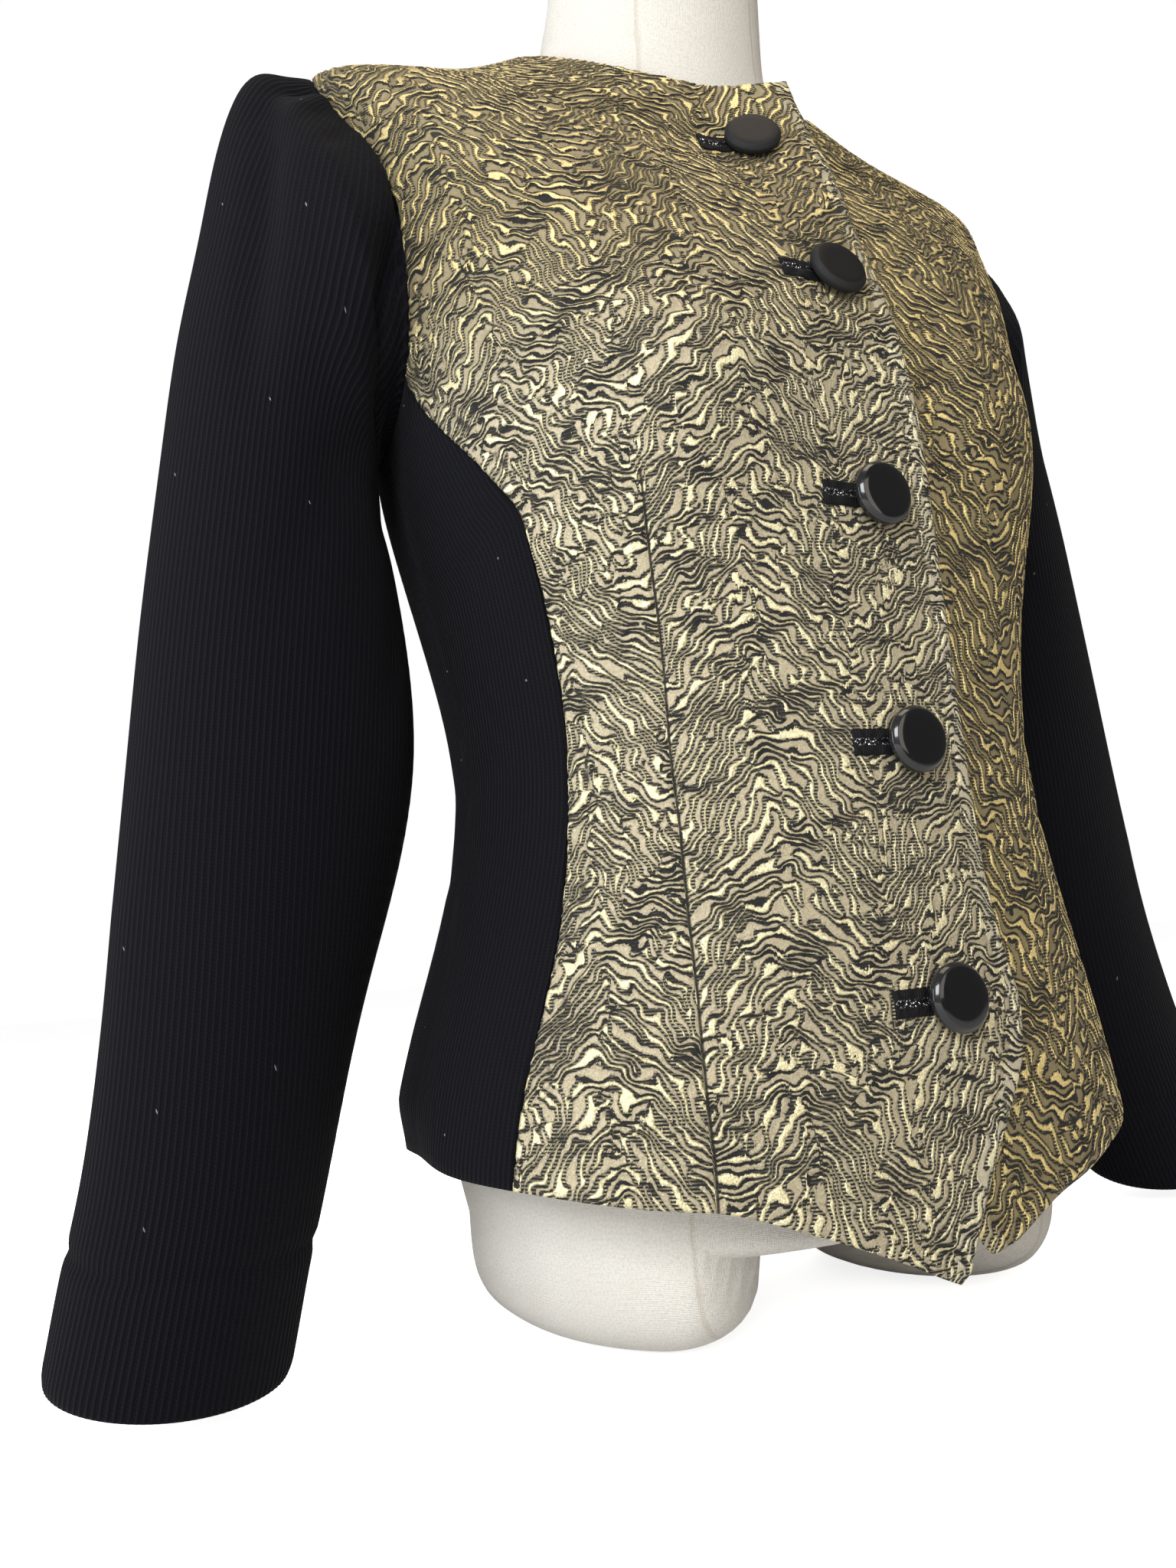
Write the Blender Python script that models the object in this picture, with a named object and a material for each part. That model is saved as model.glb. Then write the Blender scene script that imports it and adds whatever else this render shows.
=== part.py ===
"""A fitted blazer on a limbless dress form, in metres: X to the wearer's left, Y to the back, Z up.

The jacket's outer face is one surface of rings. Each sewn piece is a wall on a patch of it, and the
form is the same surface moved in. The tables hold centimetres, with heights from the waist line.
"""

import bmesh
import bpy
import numpy as np
from mathutils import Vector
from mathutils.bvhtree import BVHTree
from math import cos, pi, sin

CM = 0.01
WAIST_Z = 0.236
SHIFT_Y = 0.0082
CLOTH = 0.0020
SEAM_GAP = 0.0003
OVERLAP_INSET = 0.0029
SIDE_Y = 1.0
NECK_T = 12.0
SHOULDER_T = 10.0
UNDERARM_T = 6.85
ROWS = (13, 8, 4)
SIDE_COLUMNS = 6

# name, z front, z side, z back, half width, depth front, depth back, squareness of the corners, x of the middle
RINGS = (
    ("low", -26.0, -26.0, -26.0, 18.1, 15.3, 12.4, 0.88, -0.6),
    ("hem", -20.0, -20.0, -20.0, 18.3, 15.5, 12.6, 0.88, -0.6),
    ("hip", -13.0, -13.0, -13.0, 17.4, 15.3, 12.0, 0.88, -0.6),
    ("high_hip", -6.5, -6.5, -6.5, 15.7, 14.9, 10.6, 0.89, -0.3),
    ("waist", 0.5, 0.5, 0.5, 14.4, 14.7, 9.6, 0.91, 0.0),
    ("ribs", 8.0, 8.0, 8.0, 15.1, 14.6, 10.0, 0.85, 0.0),
    ("bust", 16.0, 16.0, 16.0, 16.7, 14.4, 11.0, 0.78, 0.0),
    ("underarm", 20.5, 21.0, 21.0, 17.2, 14.0, 11.5, 0.76, 0.0),
    ("chest", 24.5, 27.0, 26.0, 18.1, 12.8, 11.4, 0.74, 0.0),
    ("yoke", 28.5, 32.6, 31.0, 19.0, 10.7, 10.8, 0.76, 0.0),
    ("shoulder", 31.8, 37.4, 36.0, 19.8, 8.5, 9.6, 0.88, 0.0),
    ("slope", 34.0, 39.1, 38.4, 14.3, 8.1, 8.2, 0.95, 0.0),
    ("neck", 35.9, 41.7, 41.2, 8.7, 7.9, 6.3, 0.97, 0.0),
)
Z_FALL = 1.1
# x, z, spread in x, spread in z, height
BUST = (9.0, 16.0, 4.8, 5.5, 1.3)
# angle, ring, round the wearer's left armhole from the shoulder point by the front
ARMHOLE = (
    (90.0, 10.00),
    (80.0, 9.45),
    (72.5, 8.60),
    (73.0, 7.75),
    (82.1, 6.85),
    (95.0, 6.45),
    (108.0, 6.85),
    (113.0, 7.70),
    (109.5, 8.70),
    (101.0, 9.50),
)
# ring, angle
FRONT_SEAM = (
    (0.5, 62.5),
    (2.0, 60.4),
    (3.0, 58.4),
    (4.0, 59.6),
    (5.0, 58.8),
    (5.4, 59.4),
    (5.7, 64.8),
    (6.1, 73.2),
    (6.5, 79.0),
    (6.85, 82.1),
)
BACK_SEAM = ((0.5, 119.0), (2.0, 121.0), (3.2, 123.0), (4.2, 123.0), (5.4, 119.0), (6.2, 112.5), (6.85, 108.0))
# angle from the centre front, height
HEM_RIGHT = (
    (0.0, -20.6),
    (1.9, -20.3),
    (7.6, -19.25),
    (13.2, -18.4),
    (20.4, -17.5),
    (29.7, -16.65),
    (40.0, -16.3),
    (48.3, -16.0),
    (62.0, -15.6),
    (72.6, -15.35),
    (92.0, -14.8),
    (135.0, -15.2),
    (180.0, -15.6),
)
HEM_LEFT = ((0.0, -19.8), (2.3, -19.7), (5.0, -19.5), (11.1, -18.6), (16.9, -17.9), (27.1, -17.1)) + HEM_RIGHT[6:]
# height, x
EDGE_RIGHT = (
    (-20.4, -1.5),
    (-20.0, -0.95),
    (-19.3, -0.62),
    (-16.6, 0.86),
    (-14.3, 2.4),
    (-12.4, 3.6),
    (-10.2, 4.05),
    (-7.9, 3.6),
    (-4.6, 3.28),
    (4.4, 3.25),
    (14.7, 3.05),
    (20.7, 2.8),
    (28.0, 2.95),
    (31.0, 3.3),
    (33.0, 3.3),
    (34.4, 2.7),
    (36.0, 2.4),
)
EDGE_LEFT = (
    (-19.7, 0.5),
    (-19.3, 0.05),
    (-18.4, -0.35),
    (-16.4, -1.2),
    (-14.0, -2.0),
    (-11.0, -2.4),
    (36.0, -2.4),
)
# start, length of the flap's lift in x and in z, height
LIFT_X, LIFT_Z, LIFT = (-2.2, 5.5), (24.0, 8.0), 1.5
BUTTON_HEIGHTS = (32.1, 22.2, 11.3, 0.6, -9.9)
BUTTON_RADIUS, BUTTON_THICK, BUTTON_BEVEL = 0.0140, 0.0050, 0.0018
BUTTON_STAND, SHANK_RADIUS = 0.0030, 0.0032
WELT_LENGTH, WELT_PAST, WELT_HALF, WELT_RISE = 0.0300, 0.0022, 0.0055, 0.0010
# top x, top z, bottom x, bottom z, centre y, half depth, dip at the front, for the wearer's left sleeve
SLEEVE = (
    (21.45, 37.1, 17.5, 18.0, 1.0, 6.0, 0.0),
    (23.0, 36.6, 17.4, 17.4, 1.3, 6.5, 0.0),
    (24.35, 33.25, 17.3, 16.9, 1.7, 6.3, 0.0),
    (25.35, 28.45, 17.2, 16.2, 2.1, 5.8, 0.0),
    (26.45, 23.2, 17.1, 15.3, 2.5, 5.2, 0.0),
    (27.35, 17.3, 16.95, 13.5, 2.8, 4.9, 0.0),
    (28.3, 10.5, 16.4, 9.5, 3.0, 4.8, 0.0),
    (29.0, 4.5, 16.2, 3.5, 3.2, 4.8, 0.0),
    (29.65, -1.5, 17.4, -2.5, 3.3, 4.6, 0.0),
    (30.3, -7.5, 19.4, -8.5, 3.2, 4.3, 0.0),
    (31.2, -13.5, 21.2, -14.5, 2.6, 4.0, 0.2),
    (32.1, -17.4, 22.4, -18.4, 2.1, 3.9, 0.5),
    (33.0, -21.3, 23.6, -22.4, 1.6, 3.9, 0.8),
)
# row of the table above, how far the left cap sits in and down
LEFT_CAP = ((0.0, 0.5), (1.0, 1.0), (2.0, 1.1), (3.0, 0.8), (4.0, 0.5), (5.0, 0.25), (7.0, 0.0))
# how far the sleeve's second ring lies out from the seam, sideways and off the jacket
SLEEVE_START, SLEEVE_HEAD = 0.0040, 0.0002
FORM_CLEAR = 0.0080
# z, drop at the front, half width, centre y, half depth of the form's neck
NECK_RINGS = (
    (42.5, 5.0, 6.8, 0.9, 6.2),
    (44.2, 2.0, 6.4, 0.7, 6.0),
    (46.5, 0.0, 6.1, -0.1, 5.8),
    (49.5, 0.0, 5.9, -0.5, 5.6),
    (50.3, 0.0, 5.3, -0.55, 5.0),
)
# height where the form starts to taper under the jacket, length and depth of the taper
TAPER_Z, TAPER_LENGTH, TAPER = -7.0, 14.0, 3.1
FORM_LOW_Z = -18.2
# x of a thigh stub from the middle, reach of its inner side, squareness of its corners
STUB_X, STUB_REACH, STUB_CORNER = 9.3, 6.9, 1.7
# drop of the stubs and of the arch between them, fullness of the rounding, sharpness of the join
STUB_DROP, ARCH_DROP, STUB_FULL, STUB_JOIN = 5.4, 1.5, 4.0, 4
# share of the rounded depth at which the stubs are cut flat to stand on
STUB_FLAT = 0.985


def clear_scene():
    for item in list(bpy.data.objects):
        bpy.data.objects.remove(item)


def hermite(table, x):
    """Smooth curve through the rows of a table of (x, y), with no overshoot."""
    xs, ys = np.array(table, float).T
    steps, slopes = np.diff(xs), np.diff(ys) / np.diff(xs)
    tangents = np.concatenate([slopes[:1], np.zeros(len(slopes) - 1), slopes[-1:]])
    same = slopes[:-1] * slopes[1:] > 0
    mean = 2 * slopes[:-1] * slopes[1:] / np.where(same, slopes[:-1] + slopes[1:], 1)
    tangents[1:-1] = np.where(same, mean, 0)
    x = np.clip(np.asarray(x, float), xs[0], xs[-1])
    i = np.clip(np.searchsorted(xs, x, side="right") - 1, 0, len(steps) - 1)
    s = (x - xs[i]) / steps[i]
    left = (1 + 2 * s) * (1 - s) ** 2 * ys[i] + s * (1 - s) ** 2 * steps[i] * tangents[i]
    right = s * s * (3 - 2 * s) * ys[i + 1] + s * s * (s - 1) * steps[i] * tangents[i + 1]
    return left + right


def cubic(rows, closed=False):
    """Natural or closed cubic spline through the rows, as a function of the row number."""
    y = np.array(rows, float)
    count = len(y)
    matrix, right = np.zeros((count, count)), np.zeros_like(y)
    for i in range(count):
        if closed or 0 < i < count - 1:
            for step, weight in ((-1, 1), (0, 4), (1, 1)):
                matrix[i, (i + step) % count] += weight
            right[i] = 6 * (y[i - 1] - 2 * y[i] + y[(i + 1) % count])
        else:
            matrix[i, i] = 1
    bend = np.linalg.solve(matrix, right)

    def at(t):
        t = np.asarray(t, float)
        t = t % count if closed else np.clip(t, 0, count - 1)
        i = np.minimum(t.astype(int), count - 1 if closed else count - 2)
        s, j = (t - i)[..., None], (i + 1) % count
        r = 1 - s
        return r * y[i] + s * y[j] + ((r**3 - r) * bend[i] + (s**3 - s) * bend[j]) / 6

    return at


ring_at = cubic([ring[1:] for ring in RINGS])
armhole_at = cubic(ARMHOLE, closed=True)


def smooth(value):
    value = np.clip(value, 0, 1)
    return value * value * (3 - 2 * value)


def power(value, exponent):
    return np.sign(value) * np.abs(value) ** exponent


def torso(angle, t):
    """The jacket's outer face in cm, angle in radians from the centre front towards the wearer's left."""
    angle, t = np.broadcast_arrays(np.asarray(angle, float), np.asarray(t, float))
    z_front, z_side, z_back, half, front, back, square, middle = np.moveaxis(ring_at(t), -1, 0)
    s, c = np.sin(angle), np.cos(angle)
    x = middle + half * power(s, square)
    y = SIDE_Y - np.where(c > 0, front, back) * power(c, square)
    z = z_side + (z_front - z_side) * np.maximum(c, 0) ** Z_FALL
    z = z + (z_back - z_side) * np.maximum(-c, 0) ** Z_FALL
    bust_x, bust_z, wide, high, rise = BUST
    bump = np.exp(-(((np.abs(x) - bust_x) / wide) ** 2) - ((z - bust_z) / high) ** 2)
    y = y - rise * bump * np.clip(3 * c, 0, 1)
    return np.stack([x, y, z], -1)


def normal_of(face, a, b, step_a=0.05, step_b=0.02):
    """Unit normal of face(a, b), from central differences wide enough to level a crest."""
    along_a = face(a + step_a, b) - face(a - step_a, b)
    along_b = face(a, b + step_b) - face(a, b - step_b)
    across = np.cross(along_a, along_b)
    return across / np.linalg.norm(across, axis=-1, keepdims=True)


def to_metres(points):
    return np.asarray(points) * CM + np.array([0, SHIFT_Y, WAIST_Z])


def on_torso(angle, t, out=0.0):
    """Points of the outer face in metres, moved out along the normal."""
    out = np.asarray(out, float)
    t = np.clip(t, 1e-3, len(RINGS) - 1 - 1e-3)
    return to_metres(torso(angle, t)) + normal_of(torso, angle, t) * out[..., None]


def t_of_height(z):
    """Ring at a height below the underarm, where the rings are level."""
    ts = np.linspace(0, 6, 241)
    return np.interp(z, torso(0.0, ts)[:, 2], ts)


def t_at_front(z, x=0.0):
    """Ring at a height on the front, at a distance from the centre."""
    ts = np.linspace(0, NECK_T, 481)
    return np.interp(z, torso(angle_at(x, ts), ts)[:, 2], ts)


def angle_at(x, t):
    """Angle on the front where the face is at x on ring t."""
    values = ring_at(t)
    share = (np.asarray(x) - values[..., 7]) / values[..., 3]
    return np.arcsin(power(np.clip(share, -1, 1), 1 / values[..., 6]))


def hem_t(angle, table):
    return t_of_height(hermite(table, np.degrees(np.abs(angle))))


def inset_seam(angle, t, distance):
    """The angle moved along the ring by a distance in metres."""
    step = 1e-3
    pace = np.linalg.norm(torso(angle + step, t) - torso(angle - step, t), axis=-1) * CM / (2 * step)
    return angle + distance / pace


def coons(bottom, top, left, right, us, vs):
    """Grid of (angle, ring) inside four boundary curves, each given by its own 0 to 1."""
    u, v = np.meshgrid(us, vs, indexing="ij")
    u, v = u[..., None], v[..., None]
    blend = (1 - v) * bottom(u[..., 0]) + v * top(u[..., 0])
    blend = blend + (1 - u) * left(v[..., 0]) + u * right(v[..., 0])
    corner = (1 - u) * (1 - v) * bottom(np.zeros(1)) + u * (1 - v) * bottom(np.ones(1))
    corner = corner + (1 - u) * v * top(np.zeros(1)) + u * v * top(np.ones(1))
    return blend - corner


def outer_side(t, seam, part, half_gap):
    """Angle of a front's or the back's outer boundary on ring t: side seam, armhole, shoulder seam."""
    t = np.asarray(t, float)
    sway = 1 if part == "front" else -1
    seam_angle = inset_seam(np.radians(hermite(seam, t)), t, -sway * half_gap)
    span = np.linspace(0, 4, 161) if part == "front" else np.linspace(6, 10, 161)
    holes = armhole_at(span)
    order = np.argsort(holes[:, 1])
    hole_angle = np.radians(np.interp(t, holes[order, 1], holes[order, 0]))
    shoulder = inset_seam(np.full_like(t, pi / 2 - sway * 1e-3), t, -sway * half_gap)
    hole_angle = np.minimum(hole_angle, shoulder) if part == "front" else np.maximum(hole_angle, shoulder)
    return np.where(t < UNDERARM_T, seam_angle, np.where(t < SHOULDER_T, hole_angle, shoulder))


def levels(start, counts):
    """Ring numbers of the rows up to the underarm, to the shoulder point and to the neckline."""
    stops = (start, UNDERARM_T, SHOULDER_T, NECK_T)
    rows = [np.linspace(a, b, n, endpoint=False) for a, b, n in zip(stops, stops[1:], counts)]
    return np.concatenate(rows + [[NECK_T]])


def front_grid(side, columns, counts):
    """(angle, ring) grid of a front, from its side seam to its front edge and from the hem up."""
    hem, edge = (HEM_RIGHT, EDGE_RIGHT) if side < 0 else (HEM_LEFT, EDGE_LEFT)
    side_angle = np.radians(hermite(FRONT_SEAM, 1.6))
    low = float(hem_t(side_angle, hem))
    tip_z, tip_x = edge[0]
    tip_t = float(t_of_height(tip_z))
    rows = levels(low, counts)
    vs = (rows - low) / (NECK_T - low)

    def left(v):
        t = low + v * (NECK_T - low)
        return np.stack([side * outer_side(t, FRONT_SEAM, "front", SEAM_GAP / 2), t], -1)

    def right(v):
        t = tip_t + v * (NECK_T - tip_t)
        z = torso(0.0, t)[..., 2]
        return np.stack([angle_at(hermite(edge, z), t), t], -1)

    first, last = left(np.zeros(1))[0, 0], right(np.zeros(1))[0, 0]
    top_first, top_last = left(np.ones(1))[0, 0], right(np.ones(1))[0, 0]

    def bottom(u):
        angle = first + u * (last - first)
        t = hem_t(angle, hem)
        ends = hem_t(np.array([first, last]), hem)
        return np.stack([angle, t + (1 - u) * (low - ends[0]) + u * (tip_t - ends[1])], -1)

    def top(u):
        return np.stack([top_first + u * (top_last - top_first), np.full_like(u, NECK_T)], -1)

    return coons(bottom, top, left, right, np.linspace(0, 1, columns + 1), vs)


def side_grid(side, columns, rows):
    """(angle, ring) grid of a side panel, from the front seam to the back seam."""
    angles = np.radians([hermite(FRONT_SEAM, 1.6), hermite(BACK_SEAM, 1.6)])
    lows = hem_t(angles, HEM_RIGHT)
    half = SEAM_GAP / 2

    def edge(table, low, sign):
        def at(v):
            t = low + v * (UNDERARM_T - low)
            return np.stack([inset_seam(np.radians(hermite(table, t)), t, sign * half), t], -1)

        return at

    left, right = edge(FRONT_SEAM, lows[0], 1), edge(BACK_SEAM, lows[1], -1)
    ends = left(np.zeros(1))[0, 0], right(np.zeros(1))[0, 0], left(np.ones(1))[0], right(np.ones(1))[0]

    def bottom(u):
        angle = ends[0] + u * (ends[1] - ends[0])
        return np.stack([angle, hem_t(angle, HEM_RIGHT)], -1)

    def top(u):
        hole = armhole_at(4 + 2 * u) * np.array([pi / 180, 1])
        first, last = armhole_at(np.array([4.0, 6.0])) * np.array([pi / 180, 1])
        return hole + (1 - u)[..., None] * (ends[2] - first) + u[..., None] * (ends[3] - last)

    grid = coons(bottom, top, left, right, np.linspace(0, 1, columns + 1), np.linspace(0, 1, rows + 1))
    return grid * np.array([side, 1])


def back_grid(columns, counts):
    """(angle, ring) grid of the back, from the wearer's left round to the right."""
    low = float(hem_t(np.radians(hermite(BACK_SEAM, 1.6)), HEM_RIGHT))
    rows = levels(low, counts)

    def left(v):
        t = low + v * (NECK_T - low)
        return np.stack([outer_side(t, BACK_SEAM, "back", SEAM_GAP / 2), t], -1)

    def right(v):
        return np.array([2 * pi, 0]) + left(v) * np.array([-1, 1])

    first, top_first = left(np.zeros(1))[0, 0], left(np.ones(1))[0, 0]

    def bottom(u):
        angle = first + u * (2 * pi - 2 * first)
        return np.stack([angle, hem_t(pi - np.abs(angle - pi), HEM_RIGHT)], -1)

    def top(u):
        return np.stack([top_first + u * (2 * pi - 2 * top_first), np.full_like(u, NECK_T)], -1)

    return coons(bottom, top, left, right, np.linspace(0, 1, columns + 1), (rows - low) / (NECK_T - low))


def lift(points):
    """How far the right front stands off near its top corner, in metres, for points in cm."""
    x, z = points[..., 0], points[..., 2]
    return LIFT * CM * smooth((x - LIFT_X[0]) / LIFT_X[1]) * smooth((z - LIFT_Z[0]) / LIFT_Z[1])


def front_out(side, angle, t):
    """Offset of a front's outer face: the right one lifts, the left one lies under it."""
    points = torso(angle, t)
    if side < 0:
        return lift(points)
    return -OVERLAP_INSET * smooth((7.0 - points[..., 0]) / 2.8)


def front_face(side):
    def at(angle, t, out=0.0):
        return on_torso(angle, t, front_out(side, angle, t) + out)

    return at


def mesh_object(name, vertices, faces, material):
    mesh = bpy.data.meshes.new(name)
    mesh.from_pydata([tuple(v) for v in vertices], [], faces)
    body = bmesh.new()
    body.from_mesh(mesh)
    bmesh.ops.triangulate(body, faces=[f for f in body.faces if len(f.verts) > 3], quad_method="BEAUTY")
    bmesh.ops.recalc_face_normals(body, faces=body.faces)
    if body.calc_volume(signed=True) < 0:
        bmesh.ops.reverse_faces(body, faces=body.faces)
    body.to_mesh(mesh)
    body.free()
    item = bpy.data.objects.new(name, mesh)
    bpy.context.scene.collection.objects.link(item)
    mesh.materials.append(material)
    return item


def wall_faces(columns, rows, closed=False):
    """Faces of a wall whose outer and inner grids hold columns by rows points."""
    size = columns * rows
    last = columns if closed else columns - 1
    faces = []
    for i in range(last):
        k = (i + 1) % columns
        for j in range(rows - 1):
            a, b, c, d = i * rows + j, k * rows + j, k * rows + j + 1, i * rows + j + 1
            faces.append((a, b, c, d))
            faces.append((size + d, size + c, size + b, size + a))
        for j in (0, rows - 1):
            a, b = i * rows + j, k * rows + j
            faces.append((a, b, size + b, size + a) if j else (b, a, size + a, size + b))
    for j in range(rows - 1) if not closed else ():
        for i in (0, columns - 1):
            a, b = i * rows + j, i * rows + j + 1
            faces.append((b, a, size + a, size + b) if i else (a, b, size + b, size + a))
    return faces


def wall(name, outer, inner, material, closed=False):
    columns, rows = outer.shape[:2]
    points = np.concatenate([outer.reshape(-1, 3), inner.reshape(-1, 3)])
    return mesh_object(name, points, wall_faces(columns, rows, closed), material)


def panel(name, grid, face, material):
    angle, t = grid[..., 0], grid[..., 1]
    return wall(name, face(angle, t, 0.0), face(angle, t, -CLOTH), material)


def armhole_ring(turns, spread, out):
    """The left armhole's curve in metres, with turns in radians from the shoulder by the front."""
    row = armhole_at(turns / (2 * pi) * len(ARMHOLE))
    points = on_torso(np.radians(row[:, 0]), row[:, 1], np.full(len(turns), out))
    away = points - to_metres([points[:, 0].mean() / CM, 1.2, 28.0])
    return points + away / np.linalg.norm(away, axis=-1, keepdims=True) * spread


def armhole_turns(columns):
    """Turns of the corners that the panels leave round the armhole, from the shoulder by the front."""
    span = np.linspace(0, 4, 401)
    rows = np.linspace(SHOULDER_T, UNDERARM_T, ROWS[1] + 1)
    front = np.interp(-rows, -armhole_at(span)[:, 1], span)
    back = np.interp(rows[::-1], armhole_at(span + 6)[:, 1], span + 6)
    under = 4 + 2 * np.arange(1, columns) / columns
    return np.concatenate([front, under, back[:-1]]) * 2 * pi / len(ARMHOLE)


def armhole_shape(turns):
    """The armhole's outline as (up, front) between -1 and 1, at turns from the shoulder by the front."""
    points = armhole_ring(turns, 0.0, 0.0)
    span = armhole_ring(np.linspace(0, 2 * pi, 181), 0.0, 0.0)[:, 1:]
    middle, half = (span.max(axis=0) + span.min(axis=0)) / 2, np.ptp(span, axis=0) / 2
    flat = (points[:, 1:] - middle) / half
    return flat[:, 1], -flat[:, 0]


def sleeve_rings(turns, side):
    """Rings of a sleeve's outer face on the wearer's left, each as points at the given turns."""
    seam = armhole_ring(turns, -SEAM_GAP, 0.0)
    rings = [seam, armhole_ring(turns, -SEAM_GAP, SLEEVE_HEAD) + np.array([SLEEVE_START, 0, 0])]
    shape_up, shape_front = armhole_shape(turns)
    for number, (top_x, top_z, low_x, low_z, y, depth, dip) in enumerate(SLEEVE):
        drop = float(hermite(LEFT_CAP, number)) if side > 0 else 0.0
        top, low = np.array([top_x - drop, y, top_z - drop]), np.array([low_x, y, low_z])
        round_share = smooth(number / 5)
        up = shape_up + round_share * (np.cos(turns) - shape_up)
        front = shape_front + round_share * (np.sin(turns) - shape_front)
        ring = (top + low) / 2 + up[:, None] * (top - low) / 2 + front[:, None] * np.array([0, -depth, -dip])
        rings.append(to_metres(ring))
    return np.array(rings)


def sleeve_face(turns, side):
    """A sleeve on the wearer's left as a function of the ring number, at fixed turns."""
    rings = sleeve_rings(turns, side)
    through = cubic(rings.reshape(len(rings), -1))
    return lambda t: through(t).reshape(np.shape(t) + (len(turns), 3))


def sleeve_grid(turns, ring_numbers, side, out=0.0):
    """Points of a sleeve, as turns by rings."""
    step = 2e-3
    here, ahead, behind = (sleeve_face(turns + d, side)(ring_numbers) for d in (0, step, -step))
    along = sleeve_face(turns, side)(np.minimum(ring_numbers + step, len(SLEEVE) + 1))
    along = along - sleeve_face(turns, side)(np.maximum(ring_numbers - step, 0))
    normal = np.cross(ahead - behind, along)
    normal = normal / np.linalg.norm(normal, axis=-1, keepdims=True)
    points = here + normal * out
    points[ring_numbers == 0] = armhole_ring(turns, -SEAM_GAP, out)
    return points.swapaxes(0, 1) * np.array([side, 1, 1])


def make_sleeve(name, side, material):
    rings = np.concatenate([[0, 0.5, 1, 1.5], np.arange(2, 9, 0.75), np.linspace(9, 14, 6)])
    turns = armhole_turns(SIDE_COLUMNS)
    outer, inner = sleeve_grid(turns, rings, side), sleeve_grid(turns, rings, side, -CLOTH)
    return wall(name, outer, inner, material, closed=True)


def form_clear(points, t):
    """How far the form lies under the jacket's outer face, in metres."""
    close = smooth((t - 8.6) / 1.2)
    front = smooth((8.0 - np.abs(points[..., 0])) / 3) * (points[..., 1] < 0)
    near = CLOTH + 0.0006 + OVERLAP_INSET * front
    taper = TAPER * CM * smooth((TAPER_Z - points[..., 2]) / TAPER_LENGTH)
    return near * close + (CLOTH + FORM_CLEAR + taper) * (1 - close)


def form_rings(count):
    """Rings of the form from its low edge to the cap of the neck, in metres."""
    angles = np.arange(count) * 2 * pi / count
    ts = np.concatenate([np.linspace(float(t_of_height(FORM_LOW_Z)), 9, 14), np.linspace(9.5, NECK_T, 6)])
    rings = []
    for t in ts:
        points = torso(angles, np.full(count, t))
        rings.append(on_torso(angles, np.full(count, t), -form_clear(points, t)))
    for z, drop, half, y, depth in NECK_RINGS:
        height = z - drop * np.maximum(np.cos(angles), 0) ** Z_FALL
        rings.append(to_metres(np.stack([half * np.sin(angles), y - depth * np.cos(angles), height], -1)))
    return np.array(rings)


def rounding(share):
    return (1 - np.clip(share, 0, 1) ** STUB_FULL) ** (1 / STUB_FULL)


def underside(low, shares):
    """Rings under the form's low edge, each at a share of the way out, and the point in their middle."""
    centre = np.array([low[:, 0].mean(), low[:, 1].mean(), low[0, 2]])
    shares = np.append(0, shares)[:, None]
    across = np.abs(low[:, 0] - centre[0]) / CM * shares
    inner = np.maximum(STUB_X - across, 0) / STUB_REACH
    reach = (shares**STUB_CORNER + inner**STUB_CORNER) ** (1 / STUB_CORNER)
    stubs, arch = rounding(reach), ARCH_DROP / STUB_DROP * rounding(shares)
    depth = (stubs**STUB_JOIN + arch**STUB_JOIN) ** (1 / STUB_JOIN)
    rings = centre + (low - centre) * shares[..., None]
    rings[..., 2] -= np.minimum(depth / depth.max() / STUB_FLAT, 1) * STUB_DROP * CM
    return rings[1:], rings[0, 0]


def make_form(material):
    count, shares = 36, (0.1, 0.2, 0.3, 0.4, 0.5, 0.6, 0.7, 0.78, 0.86, 0.92, 0.96, 0.985, 0.997)
    rings = form_rings(count)
    rings[0, :, 2] = WAIST_Z + FORM_LOW_Z * CM
    caps, bottom = underside(rings[0], shares)
    rows = np.concatenate([caps, rings])
    top = rows[-1].mean(axis=0)
    points = np.concatenate([rows.reshape(-1, 3), [bottom, top]])
    faces = []
    for j in range(len(rows) - 1):
        for i in range(count):
            k = (i + 1) % count
            faces.append((j * count + i, j * count + k, (j + 1) * count + k, (j + 1) * count + i))
    last = (len(rows) - 1) * count
    for i in range(count):
        k = (i + 1) % count
        faces.append((len(points) - 2, k, i))
        faces.append((len(points) - 1, last + i, last + k))
    return mesh_object("dress_form", points, faces, material)


def button_frame(height):
    """Place on the right front's face and its axes: along, up and out."""
    t = t_at_front(height)
    face = front_face(-1)
    angle = float(angle_at(0.0, t))
    point = face(angle, t)
    along = face(angle + 0.02, t) - face(angle - 0.02, t)
    up = face(angle, t + 0.02) - face(angle, t - 0.02)
    out = np.cross(along, up)
    out = out / np.linalg.norm(out)
    along = along / np.linalg.norm(along)
    return point, along, np.cross(out, along), out


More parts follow.
